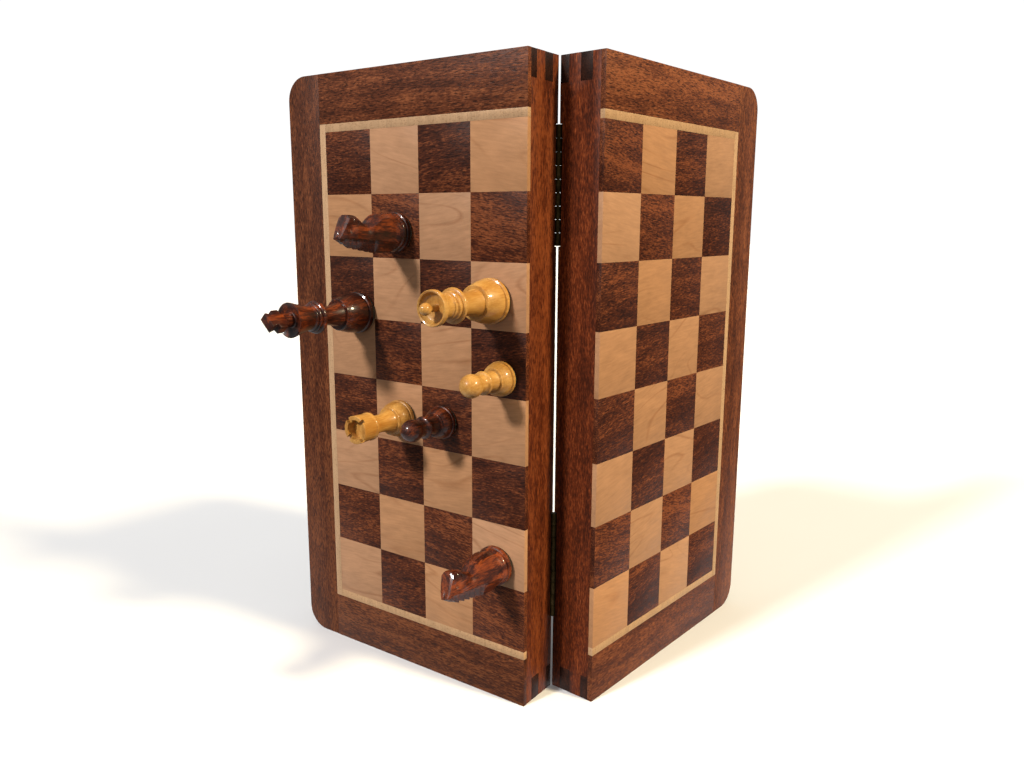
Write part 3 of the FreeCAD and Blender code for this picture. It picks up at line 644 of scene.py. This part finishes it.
OUTLINES = {
    "king": foot("king", 17.4, 4.6) + [
        (13.0, 25.4, 0.11), (12.6, 27.4, 0.5), (10.3, 27.2), (9.8, 29.0), (7.4, 45.0, -0.08),
        (8.6, 48.4, -0.2), (12.8, 50.0), (13.4, 51.4, 0.5), (12.4, 53.0, 0.3), (11.2, 53.6),
        (12.0, 55.2, 0.5), (10.9, 56.4, 0.4),
        (10.2, 56.8), (10.6, 58.2, 0.5), (9.7, 59.2), (14.0, 77.6, -0.03), (14.1, 78.4), (13.4, 78.6),
        (6.4, 76.6, -0.15), (5.6, 77.2), (5.6, 84.6), (0, 84.6)],
    "queen": foot("queen", 21.2, 5.0) + [
        (16.2, 25.6, 0.11), (15.8, 27.8, 0.5), (12.9, 27.5), (12.2, 29.4), (10.5, 47.6, -0.06),
        (11.6, 53.0, -0.15), (15.4, 57.0), (15.9, 58.4, 0.5), (15.0, 60.0, 0.3), (12.2, 60.6),
        (13.3, 62.6, 0.5), (12.3, 64.4, 0.5), (11.1, 65.2), (11.8, 67.0, 0.5), (10.8, 68.6, 0.5),
        (10.3, 70.0), (10.9, 73.0), (15.2, 82.4, -0.12), (15.9, 83.4, 0.3), (15.8, 87.0), (15.0, 87.8, 0.4),
        (13.8, 87.2), (11.2, 82.6, -0.15), (3.4, 80.8, -0.1), (2.9, 88.0)] + ball(2.9, 5.4, 100.0),
    "bishop": foot("bishop", 22.0, 5.6) + [
        (17.2, 25.0, 0.14), (16.8, 27.4, 0.5), (13.7, 27.2), (13.1, 29.0), (10.0, 45.0, -0.08),
        (10.8, 48.0, -0.15), (14.6, 50.6), (14.8, 52.0, 0.5), (13.8, 53.6, 0.3), (11.4, 54.4),
        (12.0, 56.4, 0.5), (10.0, 58.4, 0.4), (8.8, 61.0), (13.0, 70.0, 0.28), (5.2, 89.0, 0.24),
        (3.2, 91.0)] + ball(3.2, 4.4, 100.0),
    "rook": foot("rook", 27.6, 6.6) + [
        (21.0, 27.0, 0.18), (20.2, 30.0, 0.5), (17.5, 29.8), (16.9, 31.8), (13.7, 60.0, -0.12),
        (14.2, 66.0, -0.1), (18.6, 70.0, -0.2), (20.2, 71.0, 0.4), (20.4, 74.4, 0.3), (19.7, 75.4),
        (20.8, 99.0), (20.2, 100.0, 0.4), (14.8, 100.0), (14.4, 87.0), (0, 87.0)],
    "pawn": foot("pawn", 28.1, 6.6) + [
        (20.6, 27.0, 0.18), (19.8, 30.0, 0.5), (16.5, 29.8), (15.9, 31.8), (13.8, 46.0, -0.1),
        (14.6, 49.4, -0.15), (18.2, 52.0), (18.6, 54.0, 0.5), (17.4, 56.4, 0.3), (14.2, 59.0, -0.1),
        (13.6, 62.0), (13.4, 65.0)] + ball(13.4, 18.6, 100.0),
    "knight": foot("knight", 24.0, 6.0) + [(21.4, 14.5, 0.2), (12.0, 20.5, 0.25), (0, 20.5)],
}
ARC_STEP = 0.35          # length of one step along an arc, in hundredths of a man's height
ON_AXIS = 1e-7           # a radius below this is a point on the axis


def sampled(points):
    """The outline as a run of points, its arcs in short steps."""
    run = [Vector(points[0][:2])]
    for point in points[1:]:
        start = run[-1]
        end = Vector(point[:2])
        bulge = point[2] if len(point) == 3 else 0
        if bulge:
            half = (end - start) / 2
            side = Vector((half.y, -half.x)).normalized()
            radius = half.length * (1 + bulge * bulge) / (2 * bulge)
            centre = start + half + side * (bulge * half.length - radius)
            sweep = 4 * math.atan(bulge)
            steps = max(4, int(abs(sweep) * abs(radius) / ARC_STEP))
            arm = start - centre
            for step in range(1, steps):
                angle = sweep * step / steps
                cosine, sine = math.cos(angle), math.sin(angle)
                run.append(centre + Vector((arm.x * cosine - arm.y * sine, arm.x * sine + arm.y * cosine)))
        run.append(end)
    return run


def turned(kind):
    """A man's turned shape, standing on the origin."""
    unit = TALL[kind] / 100
    shape = bmesh.new()
    rings = []
    for point in sampled(OUTLINES[kind]):
        radius = max(point.x, 0.0) * unit
        height = point.y * unit
        if radius < ON_AXIS:
            rings.append([shape.verts.new((0, 0, height))])
            continue
        angles = [2 * math.pi * step / SEGMENTS for step in range(SEGMENTS)]
        rings.append([shape.verts.new((radius * math.cos(a), radius * math.sin(a), height)) for a in angles])
    for low, high in zip(rings, rings[1:]):
        for step in range(SEGMENTS):
            following = (step + 1) % SEGMENTS
            corners = [low[step % len(low)], low[following % len(low)], high[following % len(high)],
                       high[step % len(high)]]
            corners = list(dict.fromkeys(corners))
            if len(corners) > 2:
                shape.faces.new(corners)
    bmesh.ops.recalc_face_normals(shape, faces=shape.faces)
    return shape


def as_mesh(shape, name, sharp=38.0):
    """A finished shape as a smooth mesh whose edges above an angle stay sharp."""
    for face in shape.faces:
        face.smooth = True
    mesh = bpy.data.meshes.new(name)
    shape.to_mesh(mesh)
    shape.free()
    mesh.set_sharp_from_angle(angle=math.radians(sharp))
    return mesh


def prism(points, width, unit):
    """A side view, given in Y and Z, made width thick in X."""
    shape = bmesh.new()
    near = [shape.verts.new((-width / 2, y * unit, z * unit)) for y, z in points]
    far = [shape.verts.new((width / 2, y * unit, z * unit)) for y, z in points]
    shape.faces.new(near)
    shape.faces.new(list(reversed(far)))
    for number in range(len(points)):
        following = (number + 1) % len(points)
        shape.faces.new([near[following], near[number], far[number], far[following]])
    bmesh.ops.recalc_face_normals(shape, faces=shape.faces)
    return shape


def combine(base, tools, operation):
    """Join or cut whole meshes."""
    target = bpy.data.objects.new("target", base)
    bpy.context.scene.collection.objects.link(target)
    helpers = []
    for tool in tools:
        mesh = bpy.data.meshes.new("tool")
        tool.to_mesh(mesh)
        tool.free()
        helper = bpy.data.objects.new("tool", mesh)
        bpy.context.scene.collection.objects.link(helper)
        helpers.append(helper)
        step = target.modifiers.new("step", "BOOLEAN")
        step.operation = operation
        step.solver = "EXACT"
        step.object = helper
    depsgraph = bpy.context.evaluated_depsgraph_get()
    result = bpy.data.meshes.new_from_object(target.evaluated_get(depsgraph))
    for item in helpers + [target]:
        bpy.data.objects.remove(item)
    return result


def king_mesh():
    """The turned king with its cross."""
    unit = TALL["king"] / 100
    view = [(-5.4, 83.4), (5.4, 83.4), (4.6, 86.0), (8.6, 87.0), (8.6, 93.4), (5.0, 94.0), (6.8, 100.0),
            (-6.8, 100.0), (-5.0, 94.0), (-8.6, 93.4), (-8.6, 87.0), (-4.6, 86.0)]
    cross = prism(view, 8.0 * unit, unit)
    ease_edges(cross, 0.25 * MM)
    return combine(as_mesh(turned("king"), "king"), [cross], "UNION")


def rook_mesh():
    """The turned rook with its battlements cut."""
    unit = TALL["rook"] / 100
    cuts = [block((-3 * unit, -30 * unit, 95 * unit), (3 * unit, 30 * unit, 104 * unit)),
            block((-30 * unit, -3 * unit, 95 * unit), (30 * unit, 3 * unit, 104 * unit))]
    return combine(as_mesh(turned("rook"), "rook"), cuts, "DIFFERENCE")


def bishop_mesh():
    """The turned bishop with the slit in its mitre."""
    unit = TALL["bishop"] / 100
    slit = prism([(2.0, 76.0), (16.0, 84.0), (15.0, 87.4), (1.0, 79.4)], 40 * unit, unit)
    return combine(as_mesh(turned("bishop"), "bishop"), [slit], "DIFFERENCE")


# A knight's head, as sections going up, in hundredths of its height: height, front, back and
# half-width, then for the front and for the back the half-width of the flat strip and the depth of
# the bevel beside it.
KNIGHT_SECTIONS = [
    (12.5, 21.4, -21.4, 21.4, 9.0, 9.0, 9.0, 9.0),
    (19.0, 22.0, -22.6, 17.6, 8.0, 6.0, 6.0, 12.0),
    (26.0, 22.2, -23.4, 16.0, 7.5, 5.0, 5.0, 13.0),
    (36.0, 21.2, -23.8, 15.0, 7.0, 5.0, 4.0, 14.0),
    (43.0, 19.2, -23.4, 14.2, 6.5, 5.5, 3.5, 15.0),
    (50.0, 14.6, -22.6, 13.2, 6.0, 6.0, 3.0, 15.0),
    (56.0, 9.8, -21.6, 12.2, 5.5, 5.0, 3.0, 14.0),
    (59.0, 8.6, -21.0, 11.8, 5.5, 4.0, 3.0, 13.5),
    (63.0, 10.0, -20.4, 11.4, 5.5, 4.0, 3.0, 13.0),
    (69.0, 14.6, -19.4, 10.8, 5.5, 4.5, 3.0, 12.5),
    (76.0, 19.0, -18.2, 10.2, 5.5, 4.5, 2.8, 12.0),
    (83.0, 20.2, -16.8, 9.6, 5.0, 4.0, 2.8, 11.0),
    (86.6, 19.8, -15.9, 9.2, 5.0, 3.0, 2.8, 10.0),
    (92.0, 9.2, -12.4, 8.4, 5.0, 1.5, 3.0, 7.0),
    (97.0, -0.8, -9.2, 7.0, 4.5, 1.0, 3.0, 3.0),
    (99.8, -5.8, -7.4, 5.0, 4.0, 0.4, 3.0, 0.4),
]
KNIGHT_LOW = KNIGHT_SECTIONS[0][0]
KNIGHT_HIGH = KNIGHT_SECTIONS[-1][0]
KNIGHT_RINGS = 132
EDGE_POINTS = 11         # steps along each side of a section
FOREHEAD = 82.0          # from here up the head is cut flat
CARVED_ABOVE = 9.0       # the round foot turns into the carved section over this height


def section_at(height):
    """The numbers of the section at a height, between the listed ones."""
    for low, high in zip(KNIGHT_SECTIONS, KNIGHT_SECTIONS[1:]):
        if height <= high[0]:
            share = (height - low[0]) / (high[0] - low[0])
            return [a + (b - a) * share for a, b in zip(low[1:], high[1:])]
    return list(KNIGHT_SECTIONS[-1][1:])


def smooth_section(height):
    """The section averaged over its neighbours, over less height on the flat forehead."""
    reach = 1.8 if height < FOREHEAD else 0.3
    heights = [min(KNIGHT_HIGH, max(KNIGHT_LOW, height + reach * step / 3)) for step in range(-3, 4)]
    near = [section_at(value) for value in heights]
    return [sum(values) / len(near) for values in zip(*near)]


def knight_outline(height):
    """The carved section, with its front and the place where the mane's bevel starts."""
    front, back, width, front_flat, front_cut, back_flat, back_cut = smooth_section(height)
    right = [Vector((front_flat, front)), Vector((width, front - front_cut)),
             Vector((width, back + back_cut)), Vector((back_flat, back))]
    corners = right + [Vector((-corner.x, corner.y)) for corner in reversed(right)]
    points = []
    for start, end in zip(corners, corners[1:] + corners[:1]):
        points += [start.lerp(end, step / EDGE_POINTS) for step in range(EDGE_POINTS)]
    carved = min(1.0, (height - KNIGHT_LOW) / CARVED_ABOVE)
    share = carved * carved * (3 - 2 * carved)
    centre = Vector((0.0, (front + back) / 2))
    foot_radius = KNIGHT_SECTIONS[0][3]
    blended = []
    for point in points:
        way = (point - centre).normalized()
        blended.append((centre + way * foot_radius).lerp(point, share))
    return blended, front, back + back_cut


def hollow(y, height, centre_y, centre_height, radius):
    """A soft round dent, 1 at its centre."""
    away = ((y - centre_y) ** 2 + (height - centre_height) ** 2) / (radius * radius)
    return math.exp(-away * 1.6)


def carving(y, height):
    """How far a knight's side is cut in or stands out, in hundredths of its height."""
    cheek = 1.6 * hollow(y, height, 1.0, 76.0, 8.0)
    eye = 1.1 * hollow(y, height, 2.6, 88.4, 1.8) - 1.7 * hollow(y, height, 3.8, 87.0, 3.6)
    nostril = -1.5 * hollow(y, height, 16.2, 82.0, 1.8)
    lips = -1.4 * math.exp(-((height - 75.4 - 0.16 * (y - 12.0)) / 0.8) ** 2) if y > 10.0 else 0.0
    throat = -1.6 * hollow(y, height, 4.0, 60.0, 6.0)
    return cheek + eye + nostril + lips + throat


MANE_STEP = 8.6          # height of one lock of the mane
MANE_DEPTH = 2.6         # how deep each lock is cut
CHISEL = 0.8             # depth of the chisel marks on the chest


def rising(height, start, length):
    """0 below start, 1 from start + length up."""
    return min(1.0, max(0.0, (height - start) / length))


def knight_mesh():
    """The carved head joined to the turned foot."""
    unit = TALL["knight"] / 100
    shape = bmesh.new()
    rings = []
    for number in range(KNIGHT_RINGS):
        height = KNIGHT_LOW + (KNIGHT_HIGH - KNIGHT_LOW) * number / (KNIGHT_RINGS - 1)
        outline, front, mane_edge = knight_outline(height)
        mane = rising(height, 40.0, 8.0) * rising(-height, -97.0, 5.0)
        chest = rising(height, 17.0, 3.0) * rising(-height, -50.0, 6.0)
        ring = []
        for point in outline:
            x, y = point
            x += math.copysign(min(1.0, abs(x) / 8.0), x) * carving(y, height)
            if y < mane_edge:
                lock = ((height + (mane_edge - y) * 0.45) / MANE_STEP) % 1.0
                depth = MANE_DEPTH * mane * lock * min(1.0, (mane_edge - y) / 3.0)
                x *= 1 - 0.55 * depth / (abs(x) + 2.0)
                y += depth
            elif y > front - 1.5:
                y += CHISEL * chest * noise.noise(Vector((x * 0.5, height * 0.8, 0.0)))
            ears = max(0.0, height - 95.0) * 0.5 * max(0.0, 1.0 - abs(x) / 2.6)
            ring.append(shape.verts.new((x * unit, y * unit, (height - ears) * unit)))
        rings.append(ring)
    for low, high in zip(rings, rings[1:]):
        for step in range(len(low)):
            following = (step + 1) % len(low)
            shape.faces.new([low[step], low[following], high[following], high[step]])
    shape.faces.new(list(reversed(rings[0])))
    shape.faces.new(rings[-1])
    bmesh.ops.recalc_face_normals(shape, faces=shape.faces)
    return combine(as_mesh(turned("knight"), "knight"), [shape], "UNION")


def smooth_hard(mesh, sharp=32.0):
    """A joined mesh shaded smooth, with its edges above an angle kept sharp."""
    for face in mesh.polygons:
        face.use_smooth = True
    mesh.set_sharp_from_angle(angle=math.radians(sharp))
    return mesh


MESHES = {
    "king": smooth_hard(king_mesh()),
    "queen": as_mesh(turned("queen"), "queen"),
    "bishop": smooth_hard(bishop_mesh()),
    "knight": smooth_hard(knight_mesh(), 24.0),
    "rook": smooth_hard(rook_mesh()),
    "pawn": as_mesh(turned("pawn"), "pawn"),
}


def felt_pad(kind):
    """A slightly ragged disc of felt."""
    radius = OUTLINES[kind][1][0] / 100 * TALL[kind] * 0.985
    shape = bmesh.new()
    rings = []
    for height, inset in ((0.12, 0.25), (0.3, 0.05), (0.55, 0.0), (0.8, 0.08), (0.95, 0.3)):
        ring = []
        for step in range(SEGMENTS):
            angle = 2 * math.pi * step / SEGMENTS
            ragged = 0.12 * noise.noise(Vector((math.cos(angle) * 9, math.sin(angle) * 9, height * 4)))
            reach = radius - (inset + 0.06 + ragged) * MM
            ring.append(shape.verts.new((reach * math.cos(angle), reach * math.sin(angle), height * MM)))
        rings.append(ring)
    for low, high in zip(rings, rings[1:]):
        for step in range(SEGMENTS):
            following = (step + 1) % SEGMENTS
            shape.faces.new([low[step], low[following], high[following], high[step]])
    shape.faces.new(list(reversed(rings[0])))
    shape.faces.new(rings[-1])
    bmesh.ops.recalc_face_normals(shape, faces=shape.faces)
    return as_mesh(shape, kind + "_felt", 60.0)


FELTS = {kind: felt_pad(kind) for kind in MEN}
WOOD_OF_MAN = {"dark": "rosewood", "light": "boxwood"}


def place_man(name, kind, colour, body, place, nodes, felt_nodes=()):
    """One man's wood and felt, in place on its body."""
    wood = WOOD_OF_MAN[colour]
    add_piece(name + "_wood", MESHES[kind].copy(), body, wood, wood, nodes=nodes, place=place)
    add_piece(name + "_pad", FELTS[kind].copy(), body, "felt", "felt", nodes=felt_nodes, place=place)


# How far each man on the board is turned about its own axis, in degrees.
TURNS = {"dark_knight_a": 180, "dark_king": 45, "dark_knight_b": 195, "light_rook": 45}
FELT_AIR = 0.1 * MM
for name in [body for body in frame["bodies"] if body.split("_")[0] in ("dark", "light")]:
    kind = name.split("_")[1]
    low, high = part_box(name + "_felt")
    base = Vector(((low.x + high.x) / 2, high.y + FELT_AIR, (low.z + high.z) / 2))
    turn = Matrix.Rotation(math.radians(TURNS.get(name, 0)), 4, "Z")
    upright = LEFT.to_3x3().to_4x4() @ Matrix.Rotation(math.radians(-90), 4, "X")
    place = Matrix.Translation(base) @ upright @ turn
    place_man(name, kind, name.split("_")[0], name, place, [name], [name + "_felt"])
    paint(frame["nodes"][name + "_magnet"], "magnet")

# The trays: eight places by two columns in each half, numbered from the half's own lower end.
TRAY_LOW, TRAY_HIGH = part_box("left_storage_insert")
PITCH = (TRAY_HIGH.z - TRAY_LOW.z) / ROWS_OF_SQUARES
TRAY_NEAR = HINGE.x - TRAY_HIGH.x
TRAY_FAR = HINGE.x - TRAY_LOW.x
PANEL_BACK = HINGE.y - TRAY_LOW.y
LINING = 1.1 * MM
LONG_DIVIDER = 4.0 * MM
STORED_AIR = 0.3 * MM
END_AIR = 1.0 * MM
MIDDLE = (TRAY_NEAR + TRAY_FAR) / 2
COLUMNS = {"near": (TRAY_NEAR, MIDDLE - LONG_DIVIDER / 2), "far": (MIDDLE + LONG_DIVIDER / 2, TRAY_FAR)}
STORED = [
    ("stored_light_king", LEFT, "king", "near", [0], True),
    ("stored_light_bishops", LEFT, "bishop", "near", [1, 4], True),
    ("stored_light_knights", LEFT, "knight", "near", [2, 3], True),
    ("stored_light_rook", LEFT, "rook", "near", [5], True),
    ("stored_light_pawns", LEFT, "pawn", "far", [0, 1, 2, 3, 4, 5, 6], False),
    ("stored_dark_queen", RIGHT, "queen", "far", [2], True),
    ("stored_dark_bishops", RIGHT, "bishop", "far", [1, 3], True),
    ("stored_dark_rooks", RIGHT, "rook", "far", [0, 4], True),
    ("stored_dark_pawns", RIGHT, "pawn", "near", [0, 1, 2, 3, 4, 5, 6], False),
]
for node, half, kind, column, numbers, outwards in STORED:
    radius = max(point[0] for point in OUTLINES[kind]) / 100 * TALL[kind]
    low, high = COLUMNS[column]
    base = low + END_AIR if outwards else high - END_AIR
    depth = PANEL_BACK - LINING - STORED_AIR - radius
    lying = Matrix.Rotation(math.radians(90 if outwards else -90), 4, "Y")
    for number in numbers:
        spot = Vector((base, depth, TRAY_LOW.z + (number + 0.5) * PITCH))
        place = half @ Matrix.Translation(spot) @ lying
        place_man(f"{node}_{number + 1}", kind, node.split("_")[1], "lift_" + node, place, [node])

# ---------------------------------------------------------------- floor, light and camera


CARD_REACH = 0.6
CARD_HEIGHT = 0.5 * MM
STAGE_REACH = 9.0
BACKDROP_HEIGHT = 6.0
BACKDROP_GLOW = 1.05


def add_stage_piece(name, mesh, material):
    """Part of the studio: the camera sees it, and it adds nothing to the light on the set."""
    item = bpy.data.objects.new(name, mesh)
    bpy.context.scene.collection.objects.link(item)
    item.data.materials.append(material)
    item.visible_diffuse = False
    item.visible_glossy = False
    return item


def add_floor():
    """A plain pale floor."""
    shape = bmesh.new()
    bmesh.ops.create_circle(shape, cap_ends=True, segments=96, radius=STAGE_REACH)
    mesh = bpy.data.meshes.new("floor")
    shape.to_mesh(mesh)
    shape.free()
    shader = Shader("floor_paint")
    place = shader.add("ShaderNodeTexCoord").outputs["Object"]
    tone = shader.noise(place, 3.0, 2.0)
    shader.feed(shader.surface, Base_Color=shader.ramp(tone, (0.3, grey(0.88)), (0.7, grey(0.92))))
    shader.surface.inputs["Roughness"].default_value = 0.8
    shader.surface.inputs["Specular IOR Level"].default_value = 0.0
    add_stage_piece("floor", mesh, shader.material)


def add_glowing_card():
    """A card under the set that glows though it is no lamp: unseen by the camera, it shows only as a faint
    painted sheen reflected in the lower squares.
    """
    shape = bmesh.new()
    bmesh.ops.create_circle(shape, cap_ends=True, segments=48, radius=CARD_REACH)
    mesh = bpy.data.meshes.new("card")
    shape.to_mesh(mesh)
    shape.free()
    shader = Shader("glowing_card_sheen")
    shader.surface.inputs["Base Color"].default_value = grey(0.0)
    shader.surface.inputs["Specular IOR Level"].default_value = 0.0
    place = shader.add("ShaderNodeTexCoord").outputs["Object"]
    fade = shader.add("ShaderNodeVectorMath", operation="LENGTH")
    shader.tree.links.new(place, fade.inputs[0])
    share = shader.math("DIVIDE", fade.outputs["Value"], CARD_REACH)
    # Painted light: the glow is brightest near the middle and fades to nothing at the rim, and reflects as a
    # painted sheen.
    glow = shader.ramp(share, (0.3, grey(0.9)), (1.0, grey(0.0)))
    shader.feed(shader.surface, Emission_Color=glow)
    shader.surface.inputs["Emission Strength"].default_value = 1.0
    card = add_stage_piece("card", mesh, shader.material)
    card.location.z = CARD_HEIGHT
    card.visible_camera = False
    card.visible_shadow = False
    card.visible_glossy = True


def add_backdrop():
    """A round white wall far behind the set, lit evenly from behind."""
    shape = bmesh.new()
    bmesh.ops.create_circle(shape, segments=96, radius=STAGE_REACH)
    raised = bmesh.ops.extrude_edge_only(shape, edges=shape.edges)["geom"]
    for item in raised:
        if isinstance(item, bmesh.types.BMVert):
            item.co.z = BACKDROP_HEIGHT
    mesh = bpy.data.meshes.new("backdrop")
    shape.to_mesh(mesh)
    shape.free()
    shader = Shader("backdrop_cloth")
    shader.surface.inputs["Base Color"].default_value = grey(0.0)
    shader.surface.inputs["Specular IOR Level"].default_value = 0.0
    place = shader.add("ShaderNodeTexCoord").outputs["Object"]
    tone = shader.ramp(shader.noise(place, 1.0, 2.0), (0.3, grey(1.0)), (0.7, grey(0.98)))
    shader.feed(shader.surface, Emission_Color=tone)
    shader.surface.inputs["Emission Strength"].default_value = BACKDROP_GLOW
    wall = add_stage_piece("backdrop", mesh, shader.material)
    wall.visible_shadow = False


SOFTNESS = math.radians(7.9)


def add_lamp(name, way, power, colour):
    """A large soft lamp far away, in the direction way from the set."""
    lamp = bpy.data.lights.new(name, "SUN")
    lamp.energy = power
    lamp.color = colour
    lamp.angle = SOFTNESS
    item = bpy.data.objects.new(name, lamp)
    bpy.context.scene.collection.objects.link(item)
    item.location = Vector(way) * 2
    item.rotation_euler = (-Vector(way)).to_track_quat("-Z", "Y").to_euler()


def add_world():
    """Soft light all round, brighter from above than from below."""
    world = bpy.data.worlds.new("studio")
    bpy.context.scene.world = world
    world.use_nodes = True
    tree = world.node_tree
    light = tree.nodes["Background"]
    light.inputs["Color"].default_value = (1.0, 1.0, 1.0, 1.0)
    way = tree.nodes.new("ShaderNodeSeparateXYZ")
    tree.links.new(tree.nodes.new("ShaderNodeTexCoord").outputs["Generated"], way.inputs[0])
    height = tree.nodes.new("ShaderNodeMapRange")
    for socket, value in zip(("From Min", "From Max", "To Min", "To Max"), (-0.4, 0.6, 0.14, 0.46)):
        height.inputs[socket].default_value = value
    tree.links.new(way.outputs["Z"], height.inputs["Value"])
    tree.links.new(height.outputs[0], light.inputs["Strength"])


def add_camera():
    """The view is from in front of the spine, above half height, with a wide lens."""
    data = bpy.data.cameras.new("camera")
    data.sensor_width = 36.0
    data.lens = 29.64
    data.clip_start = 0.01
    camera = bpy.data.objects.new("camera", data)
    bpy.context.scene.collection.objects.link(camera)
    from_hinge = Vector((0.2088, -0.3347, 0.2331))
    right = Vector((0.81912, 0.57361, 0.00388))
    up = Vector((-0.11249, 0.15401, 0.98165))
    back = right.cross(up)
    turn = Matrix((right, up, back)).transposed()
    camera.matrix_world = Matrix.Translation(HINGE + from_hinge) @ turn.to_4x4()
    bpy.context.scene.camera = camera


add_floor()
add_glowing_card()
add_backdrop()
add_world()
add_lamp("front_lamp", (-0.237, -0.801, 0.542), 2.98, (1.0, 0.98, 0.96))
add_lamp("side_lamp", (0.822, 0.092, 0.564), 4.08, (1.0, 0.84, 0.54))
add_camera()
bpy.context.scene.view_settings.view_transform = "Standard"
